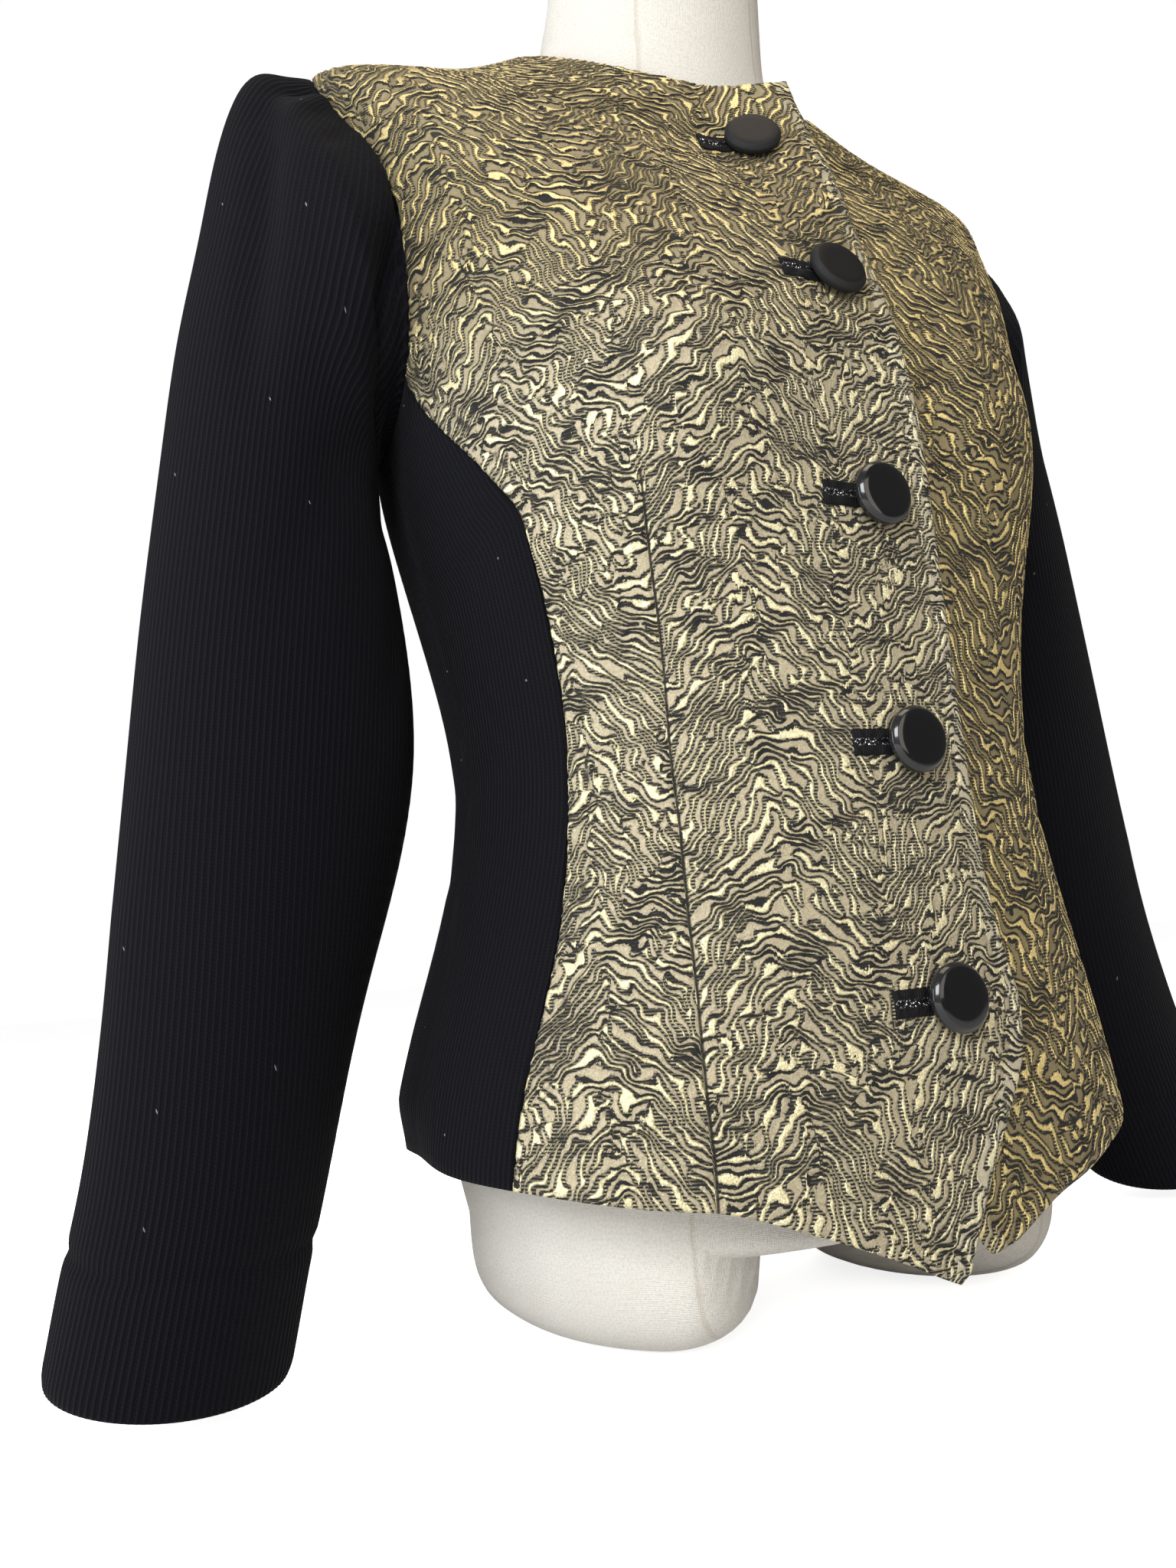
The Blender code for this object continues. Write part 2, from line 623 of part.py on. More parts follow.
def make_button(number, height, panel_tree, material):
    point, along, up, out = button_frame(height)
    point = np.array(panel_tree.ray_cast(Vector(point + out * 0.03), Vector(-out))[0])
    top = BUTTON_STAND + BUTTON_THICK
    profile = (
        (SHANK_RADIUS, WELT_RISE + 0.0009),
        (SHANK_RADIUS, BUTTON_STAND),
        (BUTTON_RADIUS - 0.0016, BUTTON_STAND),
        (BUTTON_RADIUS, BUTTON_STAND + 0.0012),
        (BUTTON_RADIUS, top - BUTTON_BEVEL),
        (BUTTON_RADIUS - BUTTON_BEVEL, top),
    )
    count = 24
    points = [point + out * profile[0][1]]
    for radius, rise in profile:
        for i in range(count):
            a = 2 * pi * i / count
            points.append(point + (along * cos(a) + up * sin(a)) * radius + out * rise)
    points.append(point + out * top)
    faces = [(0, 1 + (i + 1) % count, 1 + i) for i in range(count)]
    for j in range(len(profile) - 1):
        for i in range(count):
            k = (i + 1) % count
            a, b = 1 + j * count, 1 + (j + 1) * count
            faces.append((a + i, a + k, b + k, b + i))
    last = 1 + (len(profile) - 1) * count
    faces += [(len(points) - 1, last + i, last + (i + 1) % count) for i in range(count)]
    return mesh_object(f"button_{number}", points, faces, material)


def make_buttonhole(number, height, panel_tree, material):
    """A bound buttonhole: two lips with a groove between them, laid on the right front's facets."""
    point, along, up, out = button_frame(height)
    lips = ((-1.0, 0.5), (-0.8, 1.0), (-0.2, 1.0), (0.0, 0.35), (0.2, 1.0), (0.8, 1.0), (1.0, 0.5))
    outer, inner = [], []
    for across, rise in lips:
        row = []
        for reach in np.linspace(WELT_PAST - WELT_LENGTH, WELT_PAST, 9):
            start = point + along * reach + up * across * WELT_HALF + out * 0.03
            row.append(panel_tree.ray_cast(Vector(start), Vector(-out))[0])
        row = np.array([tuple(spot) for spot in row])
        outer.append(row + out * (SEAM_GAP + WELT_RISE * rise))
        inner.append(row + out * SEAM_GAP)
    return wall(f"buttonhole_{number}", np.array(outer), np.array(inner), material)


def make_material(name, colour, roughness, metallic=0.0):
    material = bpy.data.materials.new(name)
    material.use_nodes = True
    shader = material.node_tree.nodes["Principled BSDF"]
    shader.inputs["Base Color"].default_value = (*colour, 1)
    shader.inputs["Roughness"].default_value = roughness
    shader.inputs["Metallic"].default_value = metallic
    material.diffuse_color = (*colour, 1)
    return material


def build():
    clear_scene()
    brocade = make_material("gold_brocade", (0.42, 0.33, 0.16), 0.45, 0.5)
    knit = make_material("black_knit", (0.012, 0.012, 0.014), 0.9)
    linen = make_material("linen", (0.78, 0.72, 0.63), 0.9)
    black = make_material("button_black", (0.01, 0.01, 0.011), 0.25)
    satin = make_material("welt_black", (0.01, 0.01, 0.012), 0.5)
    make_form(linen)
    front = panel("front_right", front_grid(-1, 13, ROWS), front_face(-1), brocade)
    panel("front_left", front_grid(1, 13, ROWS), front_face(1), brocade)
    panel("side_right", side_grid(-1, SIDE_COLUMNS, ROWS[0]), on_torso, knit)
    panel("side_left", side_grid(1, SIDE_COLUMNS, ROWS[0]), on_torso, knit)
    panel("back", back_grid(18, ROWS), on_torso, knit)
    make_sleeve("sleeve_right", -1, knit)
    make_sleeve("sleeve_left", 1, knit)
    tree = BVHTree.FromPolygons([v.co for v in front.data.vertices], [f.vertices for f in front.data.polygons])
    for number, height in enumerate(BUTTON_HEIGHTS, 1):
        make_buttonhole(number, height, tree, satin)
        make_button(number, height, tree, black)


build()
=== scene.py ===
"""The blazer on its dress form: fine cloth pieces, materials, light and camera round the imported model.

Metres, X to the wearer's left, Y to the back, Z up. The tables hold centimetres, with heights from the
waist line, and are the solid model's own.
"""

import bpy
import numpy as np
from mathutils import Matrix, Vector
from mathutils.bvhtree import BVHTree
from math import cos, pi, radians, sin


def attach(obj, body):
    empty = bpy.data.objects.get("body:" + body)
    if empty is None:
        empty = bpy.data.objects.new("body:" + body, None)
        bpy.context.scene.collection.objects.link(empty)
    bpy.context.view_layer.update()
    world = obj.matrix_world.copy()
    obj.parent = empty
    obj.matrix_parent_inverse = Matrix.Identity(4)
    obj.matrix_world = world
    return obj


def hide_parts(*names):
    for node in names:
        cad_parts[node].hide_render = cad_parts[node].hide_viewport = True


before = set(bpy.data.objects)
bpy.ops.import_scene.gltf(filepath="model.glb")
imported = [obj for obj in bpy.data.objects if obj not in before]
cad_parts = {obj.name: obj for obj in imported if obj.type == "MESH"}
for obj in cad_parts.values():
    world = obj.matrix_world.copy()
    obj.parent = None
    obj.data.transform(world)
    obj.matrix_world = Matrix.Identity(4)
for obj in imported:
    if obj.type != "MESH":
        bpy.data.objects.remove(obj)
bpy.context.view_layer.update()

CM = 0.01
WAIST_Z = 0.236
SHIFT_Y = 0.0082
CLOTH = 0.0020
SEAM_GAP = 0.0003
OVERLAP_INSET = 0.0029
SIDE_Y = 1.0
NECK_T = 12.0
SHOULDER_T = 10.0
UNDERARM_T = 6.85
# ring at the foot of the side seams
FOOT_T = 1.6
# how far to either side of a point, in angle and ring, its normal is worked out from
NORMAL_ANGLE, NORMAL_RING = 0.05, 0.02
# the jacket's rings from the bottom up: z at the front, side and back, half width, depth to the front and
# back, squareness of the corners, x of the middle
RINGS = (
    (-26.0, -26.0, -26.0, 18.1, 15.3, 12.4, 0.88, -0.6),
    (-20.0, -20.0, -20.0, 18.3, 15.5, 12.6, 0.88, -0.6),
    (-13.0, -13.0, -13.0, 17.4, 15.3, 12.0, 0.88, -0.6),
    (-6.5, -6.5, -6.5, 15.7, 14.9, 10.6, 0.89, -0.3),
    (0.5, 0.5, 0.5, 14.4, 14.7, 9.6, 0.91, 0.0),
    (8.0, 8.0, 8.0, 15.1, 14.6, 10.0, 0.85, 0.0),
    (16.0, 16.0, 16.0, 16.7, 14.4, 11.0, 0.78, 0.0),
    (20.5, 21.0, 21.0, 17.2, 14.0, 11.5, 0.76, 0.0),
    (24.5, 27.0, 26.0, 18.1, 12.8, 11.4, 0.74, 0.0),
    (28.5, 32.6, 31.0, 19.0, 10.7, 10.8, 0.76, 0.0),
    (31.8, 37.4, 36.0, 19.8, 8.5, 9.6, 0.88, 0.0),
    (34.0, 39.1, 38.4, 14.3, 8.1, 8.2, 0.95, 0.0),
    (35.9, 41.7, 41.2, 8.7, 7.9, 6.3, 0.97, 0.0),
)
Z_FALL = 1.1
# x, z, spread in x, spread in z, height
BUST = (9.0, 16.0, 4.8, 5.5, 1.3)
# angle, ring, round the wearer's left armhole from the shoulder point by the front
ARMHOLE = (
    (90.0, 10.00), (80.0, 9.45), (72.5, 8.60), (73.0, 7.75), (82.1, 6.85), (95.0, 6.45), (108.0, 6.85),
    (113.0, 7.70), (109.5, 8.70), (101.0, 9.50),
)
# ring, angle
FRONT_SEAM = (
    (0.5, 62.5), (2.0, 60.4), (3.0, 58.4), (4.0, 59.6), (5.0, 58.8), (5.4, 59.4), (5.7, 64.8), (6.1, 73.2),
    (6.5, 79.0), (6.85, 82.1),
)
BACK_SEAM = ((0.5, 119), (2.0, 121), (3.2, 123), (4.2, 123), (5.4, 119), (6.2, 112.5), (6.85, 108))
# angle from the centre front, height
HEM_RIGHT = (
    (0.0, -20.6), (1.9, -20.3), (7.6, -19.25), (13.2, -18.4), (20.4, -17.5), (29.7, -16.65), (40.0, -16.3),
    (48.3, -16.0), (62.0, -15.6), (72.6, -15.35), (92.0, -14.8), (135.0, -15.2), (180.0, -15.6),
)
HEM_LEFT = (
    (0.0, -19.8), (2.3, -19.7), (5.0, -19.5), (11.1, -18.6), (16.9, -17.9), (27.1, -17.1), *HEM_RIGHT[6:],
)
# height, x
EDGE_RIGHT = (
    (-20.4, -1.5), (-20.0, -0.95), (-19.3, -0.62), (-16.6, 0.86), (-14.3, 2.4), (-12.4, 3.6), (-10.2, 4.05),
    (-7.9, 3.6), (-4.6, 3.28), (4.4, 3.25), (14.7, 3.05), (20.7, 2.8), (28.0, 2.95), (31.0, 3.3),
    (33.0, 3.3), (34.4, 2.7), (36.0, 2.4),
)
EDGE_LEFT = (
    (-19.7, 0.5), (-19.3, 0.05), (-18.4, -0.35), (-16.4, -1.2), (-14.0, -2.0), (-11.0, -2.4), (36.0, -2.4),
)
# start, length of the flap's lift in x and in z, height
LIFT_X, LIFT_Z, LIFT = (-2.2, 5.5), (24.0, 8.0), 1.5
# x from which the left front sinks in under the right one, and over what length
UNDER_X, UNDER_LENGTH = 7.0, 2.8
BUTTON_HEIGHTS = (32.1, 22.2, 11.3, 0.6, -9.9)
BUTTON_RADIUS, BUTTON_THICK, BUTTON_BEVEL = 0.0140, 0.0050, 0.0018
BUTTON_STAND, SHANK_RADIUS = 0.0030, 0.0032
WELT_LENGTH, WELT_PAST, WELT_HALF, WELT_RISE = 0.0300, 0.0022, 0.0055, 0.0010
# top x, top z, bottom x, bottom z, centre y, half depth, dip at the front, for the wearer's left sleeve
SLEEVE = (
    (21.45, 37.1, 17.5, 18.0, 1.0, 6.0, 0.0),
    (23.0, 36.6, 17.4, 17.4, 1.3, 6.5, 0.0),
    (24.35, 33.25, 17.3, 16.9, 1.7, 6.3, 0.0),
    (25.35, 28.45, 17.2, 16.2, 2.1, 5.8, 0.0),
    (26.45, 23.2, 17.1, 15.3, 2.5, 5.2, 0.0),
    (27.35, 17.3, 16.95, 13.5, 2.8, 4.9, 0.0),
    (28.3, 10.5, 16.4, 9.5, 3.0, 4.8, 0.0),
    (29.0, 4.5, 16.2, 3.5, 3.2, 4.8, 0.0),
    (29.65, -1.5, 17.4, -2.5, 3.3, 4.6, 0.0),
    (30.3, -7.5, 19.4, -8.5, 3.2, 4.3, 0.0),
    (31.2, -13.5, 21.2, -14.5, 2.6, 4.0, 0.2),
    (32.1, -17.4, 22.4, -18.4, 2.1, 3.9, 0.5),
    (33.0, -21.3, 23.6, -22.4, 1.6, 3.9, 0.8),
)
# row of the table above, how far the left cap sits in and down
LEFT_CAP = ((0.0, 0.5), (1.0, 1.0), (2.0, 1.1), (3.0, 0.8), (4.0, 0.5), (5.0, 0.25), (7.0, 0.0))
# how far the sleeve's second ring lies out from the seam, sideways and off the jacket
SLEEVE_START, SLEEVE_HEAD = 0.0040, 0.0002
# room between the jacket and the form, at the body and above the ring where it narrows over so many rings
FORM_CLEAR, CHEST_CLEAR, CHEST_T, CHEST_RINGS = 0.0080, 0.0006, 8.6, 1.2
# z, drop at the front, half width, centre y, half depth of the form's neck
NECK_RINGS = (
    (42.5, 5.0, 6.8, 0.9, 6.2),
    (44.2, 2.0, 6.4, 0.7, 6.0),
    (46.5, 0.0, 6.1, -0.1, 5.8),
    (49.5, 0.0, 5.9, -0.5, 5.6),
    (50.3, 0.0, 5.3, -0.55, 5.0),
)
# height where the form starts to taper under the jacket, length and depth of the taper
TAPER_Z, TAPER_LENGTH, TAPER = -7.0, 14.0, 3.1
FORM_LOW_Z = -18.2
# x of a thigh stub from the middle, reach of its inner side, squareness of its corners
STUB_X, STUB_REACH, STUB_CORNER = 9.3, 6.9, 1.7
# drop of the stubs and of the arch between them, fullness of the rounding, sharpness of the join
STUB_DROP, ARCH_DROP, STUB_FULL, STUB_JOIN = 5.4, 1.5, 4.0, 4
# share of the rounded depth at which the stubs are cut flat to stand on
STUB_FLAT = 0.985


def hermite(table, x):
    """Smooth curve through the rows of a table of (x, y), with no overshoot."""
    xs, ys = np.array(table, float).T
    steps, slopes = np.diff(xs), np.diff(ys) / np.diff(xs)
    tangents = np.concatenate([slopes[:1], np.zeros(len(slopes) - 1), slopes[-1:]])
    same = slopes[:-1] * slopes[1:] > 0
    mean = 2 * slopes[:-1] * slopes[1:] / np.where(same, slopes[:-1] + slopes[1:], 1)
    tangents[1:-1] = np.where(same, mean, 0)
    x = np.clip(np.asarray(x, float), xs[0], xs[-1])
    i = np.clip(np.searchsorted(xs, x, side="right") - 1, 0, len(steps) - 1)
    s = (x - xs[i]) / steps[i]
    left = (1 + 2 * s) * (1 - s) ** 2 * ys[i] + s * (1 - s) ** 2 * steps[i] * tangents[i]
    right = s * s * (3 - 2 * s) * ys[i + 1] + s * s * (s - 1) * steps[i] * tangents[i + 1]
    return left + right


def cubic(rows, closed=False):
    """Natural or closed cubic spline through the rows, as a function of the row number."""
    y = np.array(rows, float)
    count = len(y)
    matrix, right = np.zeros((count, count)), np.zeros_like(y)
    for i in range(count):
        if closed or 0 < i < count - 1:
            for step, weight in ((-1, 1), (0, 4), (1, 1)):
                matrix[i, (i + step) % count] += weight
            right[i] = 6 * (y[i - 1] - 2 * y[i] + y[(i + 1) % count])
        else:
            matrix[i, i] = 1
    bend = np.linalg.solve(matrix, right)

    def at(t):
        t = np.asarray(t, float)
        t = t % count if closed else np.clip(t, 0, count - 1)
        i = np.minimum(t.astype(int), count - 1 if closed else count - 2)
        s, j = (t - i)[..., None], (i + 1) % count
        r = 1 - s
        return r * y[i] + s * y[j] + ((r**3 - r) * bend[i] + (s**3 - s) * bend[j]) / 6

    return at


ring_at = cubic(RINGS)
armhole_at = cubic(ARMHOLE, closed=True)


def smooth(value):
    value = np.clip(value, 0, 1)
    return value * value * (3 - 2 * value)


def power(value, exponent):
    return np.sign(value) * np.abs(value) ** exponent


def torso(angle, t):
    """The jacket's outer face in cm, angle in radians from the centre front towards the wearer's left."""
    angle, t = np.broadcast_arrays(np.asarray(angle, float), np.asarray(t, float))
    z_front, z_side, z_back, half, front, back, square, middle = np.moveaxis(ring_at(t), -1, 0)
    s, c = np.sin(angle), np.cos(angle)
    x = middle + half * power(s, square)
    y = SIDE_Y - np.where(c > 0, front, back) * power(c, square)
    z = z_side + (z_front - z_side) * np.maximum(c, 0) ** Z_FALL
    z = z + (z_back - z_side) * np.maximum(-c, 0) ** Z_FALL
    bust_x, bust_z, wide, high, rise = BUST
    bump = np.exp(-(((np.abs(x) - bust_x) / wide) ** 2) - ((z - bust_z) / high) ** 2)
    y = y - rise * bump * np.clip(3 * c, 0, 1)
    return np.stack([x, y, z], -1)


def unit(vectors):
    return vectors / np.linalg.norm(vectors, axis=-1, keepdims=True)


def normal_of(face, a, b):
    """Unit normal of face(a, b), from central differences wide enough to level a crest."""
    along_a = face(a + NORMAL_ANGLE, b) - face(a - NORMAL_ANGLE, b)
    along_b = face(a, b + NORMAL_RING) - face(a, b - NORMAL_RING)
    return unit(np.cross(along_a, along_b))


def to_metres(points):
    return np.asarray(points) * CM + np.array([0, SHIFT_Y, WAIST_Z])


def on_torso(angle, t, out=0.0):
    """Points of the outer face in metres, moved out along the normal."""
    out = np.asarray(out, float)
    t = np.clip(t, 1e-3, len(RINGS) - 1 - 1e-3)
    return to_metres(torso(angle, t)) + normal_of(torso, angle, t) * out[..., None]


def t_of_height(z):
    """Ring at a height below the underarm, where the rings are level."""
    ts = np.linspace(0, 6, 241)
    return np.interp(z, torso(0.0, ts)[:, 2], ts)


def t_at_front(z, x=0.0):
    """Ring at a height on the front, at a distance from the centre."""
    ts = np.linspace(0, NECK_T, 481)
    return np.interp(z, torso(angle_at(x, ts), ts)[:, 2], ts)


def angle_at(x, t):
    """Angle on the front where the face is at x on ring t."""
    values = ring_at(t)
    share = (np.asarray(x) - values[..., 7]) / values[..., 3]
    return np.arcsin(power(np.clip(share, -1, 1), 1 / values[..., 6]))


def hem_t(angle, table):
    return t_of_height(hermite(table, np.degrees(np.abs(angle))))


def inset_seam(angle, t, distance):
    """The angle moved along the ring by a distance in metres."""
    step = 1e-3
    pace = np.linalg.norm(torso(angle + step, t) - torso(angle - step, t), axis=-1) * CM / (2 * step)
    return angle + distance / pace


# both ends of a boundary curve
START, END = np.zeros(1), np.ones(1)


def coons(bottom, top, left, right, us, vs):
    """Grid of (angle, ring) inside four boundary curves, each given by its own 0 to 1."""
    u, v = np.meshgrid(us, vs, indexing="ij")
    u, v = u[..., None], v[..., None]
    blend = (1 - v) * bottom(u[..., 0]) + v * top(u[..., 0])
    blend = blend + (1 - u) * left(v[..., 0]) + u * right(v[..., 0])
    corner = (1 - u) * (1 - v) * bottom(START) + u * (1 - v) * bottom(END)
    corner = corner + (1 - u) * v * top(START) + u * v * top(END)
    return blend - corner


def outer_side(t, seam, part, half_gap):
    """Angle of a front's or the back's outer boundary on ring t: side seam, armhole, shoulder seam."""
    t = np.asarray(t, float)
    sway = 1 if part == "front" else -1
    seam_angle = inset_seam(np.radians(hermite(seam, t)), t, -sway * half_gap)
    span = np.linspace(0, 4, 161) if part == "front" else np.linspace(6, 10, 161)
    holes = armhole_at(span)
    order = np.argsort(holes[:, 1])
    hole_angle = np.radians(np.interp(t, holes[order, 1], holes[order, 0]))
    shoulder = inset_seam(np.full_like(t, pi / 2 - sway * 1e-3), t, -sway * half_gap)
    hole_angle = np.minimum(hole_angle, shoulder) if part == "front" else np.maximum(hole_angle, shoulder)
    return np.where(t < UNDERARM_T, seam_angle, np.where(t < SHOULDER_T, hole_angle, shoulder))


def levels(start, counts):
    """Ring numbers of the rows up to the underarm, to the shoulder point and to the neckline."""
    stops = (start, UNDERARM_T, SHOULDER_T, NECK_T)
    rows = [np.linspace(a, b, n, endpoint=False) for a, b, n in zip(stops, stops[1:], counts)]
    return np.concatenate(rows + [[NECK_T]])


def front_grid(side, columns, counts):
    """(angle, ring) grid of a front, from its side seam to its front edge and from the hem up."""
    hem, edge = (HEM_RIGHT, EDGE_RIGHT) if side < 0 else (HEM_LEFT, EDGE_LEFT)
    side_angle = np.radians(hermite(FRONT_SEAM, FOOT_T))
    low = float(hem_t(side_angle, hem))
    tip_t = float(t_of_height(edge[0][0]))
    rows = levels(low, counts)
    vs = (rows - low) / (NECK_T - low)

    def left(v):
        t = low + v * (NECK_T - low)
        return np.stack([side * outer_side(t, FRONT_SEAM, "front", SEAM_GAP / 2), t], -1)

    def right(v):
        t = tip_t + v * (NECK_T - tip_t)
        z = torso(0.0, t)[..., 2]
        return np.stack([angle_at(hermite(edge, z), t), t], -1)

    first, last = left(START)[0, 0], right(START)[0, 0]
    top_first, top_last = left(END)[0, 0], right(END)[0, 0]

    def bottom(u):
        angle = first + u * (last - first)
        t = hem_t(angle, hem)
        ends = hem_t(np.array([first, last]), hem)
        return np.stack([angle, t + (1 - u) * (low - ends[0]) + u * (tip_t - ends[1])], -1)

    def top(u):
        return np.stack([top_first + u * (top_last - top_first), np.full_like(u, NECK_T)], -1)

    return coons(bottom, top, left, right, np.linspace(0, 1, columns + 1), vs)


def side_grid(side, columns, rows):
    """(angle, ring) grid of a side panel, from the front seam to the back seam."""
    angles = np.radians([hermite(FRONT_SEAM, FOOT_T), hermite(BACK_SEAM, FOOT_T)])
    lows = hem_t(angles, HEM_RIGHT)
    half = SEAM_GAP / 2

    def edge(table, low, sign):
        def at(v):
            t = low + v * (UNDERARM_T - low)
            return np.stack([inset_seam(np.radians(hermite(table, t)), t, sign * half), t], -1)

        return at

    left, right = edge(FRONT_SEAM, lows[0], 1), edge(BACK_SEAM, lows[1], -1)
    ends = left(START)[0, 0], right(START)[0, 0], left(END)[0], right(END)[0]

    def bottom(u):
        angle = ends[0] + u * (ends[1] - ends[0])
        return np.stack([angle, hem_t(angle, HEM_RIGHT)], -1)

    def top(u):
        hole = armhole_at(4 + 2 * u) * np.array([pi / 180, 1])
        first, last = armhole_at(np.array([4.0, 6.0])) * np.array([pi / 180, 1])
        return hole + (1 - u)[..., None] * (ends[2] - first) + u[..., None] * (ends[3] - last)

    grid = coons(bottom, top, left, right, np.linspace(0, 1, columns + 1), np.linspace(0, 1, rows + 1))
    return grid * np.array([side, 1])


def back_grid(columns, counts):
    """(angle, ring) grid of the back, from the wearer's left round to the right."""
    low = float(hem_t(np.radians(hermite(BACK_SEAM, FOOT_T)), HEM_RIGHT))
    rows = levels(low, counts)

    def left(v):
        t = low + v * (NECK_T - low)
        return np.stack([outer_side(t, BACK_SEAM, "back", SEAM_GAP / 2), t], -1)

    def right(v):
        return np.array([2 * pi, 0]) + left(v) * np.array([-1, 1])

    first, top_first = left(START)[0, 0], left(END)[0, 0]

    def bottom(u):
        angle = first + u * (2 * pi - 2 * first)
        return np.stack([angle, hem_t(pi - np.abs(angle - pi), HEM_RIGHT)], -1)

    def top(u):
        return np.stack([top_first + u * (2 * pi - 2 * top_first), np.full_like(u, NECK_T)], -1)

    return coons(bottom, top, left, right, np.linspace(0, 1, columns + 1), (rows - low) / (NECK_T - low))


def lift(points):
    """How far the right front stands off near its top corner, in metres, for points in cm."""
    x, z = points[..., 0], points[..., 2]
    return LIFT * CM * smooth((x - LIFT_X[0]) / LIFT_X[1]) * smooth((z - LIFT_Z[0]) / LIFT_Z[1])


def front_out(side, angle, t):
    """Offset of a front's outer face: the right one lifts, the left one lies under it."""
    points = torso(angle, t)
    if side < 0:
        return lift(points)
    return -OVERLAP_INSET * smooth((UNDER_X - points[..., 0]) / UNDER_LENGTH)


def front_face(side):
    def at(angle, t, out=0.0):
        return on_torso(angle, t, front_out(side, angle, t) + out)

    return at


def armhole_ring(turns, spread, out):
    """The left armhole's curve in metres, with turns in radians from the shoulder by the front."""
    row = armhole_at(turns / (2 * pi) * len(ARMHOLE))
    points = on_torso(np.radians(row[:, 0]), row[:, 1], np.full(len(turns), out))
    away = points - to_metres([points[:, 0].mean() / CM, 1.2, 28.0])
    return points + unit(away) * spread


def armhole_shape(turns):
    """The armhole's outline as (up, front) between -1 and 1, at turns from the shoulder by the front."""
    points = armhole_ring(turns, 0.0, 0.0)
    span = armhole_ring(np.linspace(0, 2 * pi, 181), 0.0, 0.0)[:, 1:]
    middle, half = (span.max(axis=0) + span.min(axis=0)) / 2, np.ptp(span, axis=0) / 2
    flat = (points[:, 1:] - middle) / half
    return flat[:, 1], -flat[:, 0]


def sleeve_rings(turns, side):
    """Rings of a sleeve's outer face on the wearer's left, each as points at the given turns."""
    seam = armhole_ring(turns, -SEAM_GAP, 0.0)
    rings = [seam, armhole_ring(turns, -SEAM_GAP, SLEEVE_HEAD) + np.array([SLEEVE_START, 0, 0])]
    shape_up, shape_front = armhole_shape(turns)
    for number, (top_x, top_z, low_x, low_z, y, depth, dip) in enumerate(SLEEVE):
        drop = float(hermite(LEFT_CAP, number)) if side > 0 else 0.0
        top, low = np.array([top_x - drop, y, top_z - drop]), np.array([low_x, y, low_z])
        round_share = smooth(number / 5)
        up = shape_up + round_share * (np.cos(turns) - shape_up)
        front = shape_front + round_share * (np.sin(turns) - shape_front)
        ring = (top + low) / 2 + up[:, None] * (top - low) / 2 + front[:, None] * np.array([0, -depth, -dip])
        rings.append(to_metres(ring))
    return np.array(rings)


def sleeve_face(turns, side):
    """A sleeve on the wearer's left as a function of the ring number, at fixed turns."""
    rings = sleeve_rings(turns, side)
    through = cubic(rings.reshape(len(rings), -1))
    return lambda t: through(t).reshape(np.shape(t) + (len(turns), 3))


def sleeve_grid(turns, ring_numbers, side, out=0.0):
    """Points of a sleeve, as turns by rings."""
    step = 2e-3
    here, ahead, behind = (sleeve_face(turns + d, side)(ring_numbers) for d in (0, step, -step))
    along = sleeve_face(turns, side)(np.minimum(ring_numbers + step, len(SLEEVE) + 1))
    along = along - sleeve_face(turns, side)(np.maximum(ring_numbers - step, 0))
    points = here + unit(np.cross(ahead - behind, along)) * out
    points[ring_numbers == 0] = armhole_ring(turns, -SEAM_GAP, out)
    return points.swapaxes(0, 1) * np.array([side, 1, 1])


def form_clear(points, t):
    """How far the form lies under the jacket's outer face, in metres."""
    close = smooth((t - CHEST_T) / CHEST_RINGS)
    front = smooth((8.0 - np.abs(points[..., 0])) / 3) * (points[..., 1] < 0)
    near = CLOTH + CHEST_CLEAR + OVERLAP_INSET * front
    taper = TAPER * CM * smooth((TAPER_Z - points[..., 2]) / TAPER_LENGTH)
    return near * close + (CLOTH + FORM_CLEAR + taper) * (1 - close)


def form_rings(count):
    """Rings of the form from its low edge to the cap of the neck, in metres."""
    angles = np.arange(count) * 2 * pi / count
    ts = np.concatenate([np.linspace(float(t_of_height(FORM_LOW_Z)), 9, 14), np.linspace(9.5, NECK_T, 6)])
    rings = []
    for t in ts:
        points = torso(angles, np.full(count, t))
        rings.append(on_torso(angles, np.full(count, t), -form_clear(points, t)))
    for z, drop, half, y, depth in NECK_RINGS:
        height = z - drop * np.maximum(np.cos(angles), 0) ** Z_FALL
        rings.append(to_metres(np.stack([half * np.sin(angles), y - depth * np.cos(angles), height], -1)))
    return np.array(rings)


def rounding(share):
    return (1 - np.clip(share, 0, 1) ** STUB_FULL) ** (1 / STUB_FULL)


def underside(low, shares):
    """Rings under the form's low edge, each at a share of the way out, and the point in their middle."""
    centre = np.array([low[:, 0].mean(), low[:, 1].mean(), low[0, 2]])
    shares = np.append(0, shares)[:, None]
    across = np.abs(low[:, 0] - centre[0]) / CM * shares
    inner = np.maximum(STUB_X - across, 0) / STUB_REACH
    reach = (shares**STUB_CORNER + inner**STUB_CORNER) ** (1 / STUB_CORNER)
    stubs, arch = rounding(reach), ARCH_DROP / STUB_DROP * rounding(shares)
    depth = (stubs**STUB_JOIN + arch**STUB_JOIN) ** (1 / STUB_JOIN)
    rings = centre + (low - centre) * shares[..., None]
    rings[..., 2] -= np.minimum(depth / depth.max() / STUB_FLAT, 1) * STUB_DROP * CM
    return rings[1:], rings[0, 0]


# points of an outer grid for each one of its inner grid, and how far a wall's border is rolled in
STEP, EDGE = 8, 0.0010
# ring that heights along the cloth are counted from
WAIST_T = 4
# the dart, as ring and angle on the wearer's left
DART = (
    (0.5, 30.4), (1.62, 30.6), (2.09, 31.7), (2.57, 33.3), (3.22, 36.5), (3.57, 38.2),
    (4.08, 39.8), (4.95, 37.7), (5.54, 36.4), (6.6, 36.5), (7.8, 37.8), (12.0, 40.0),
)
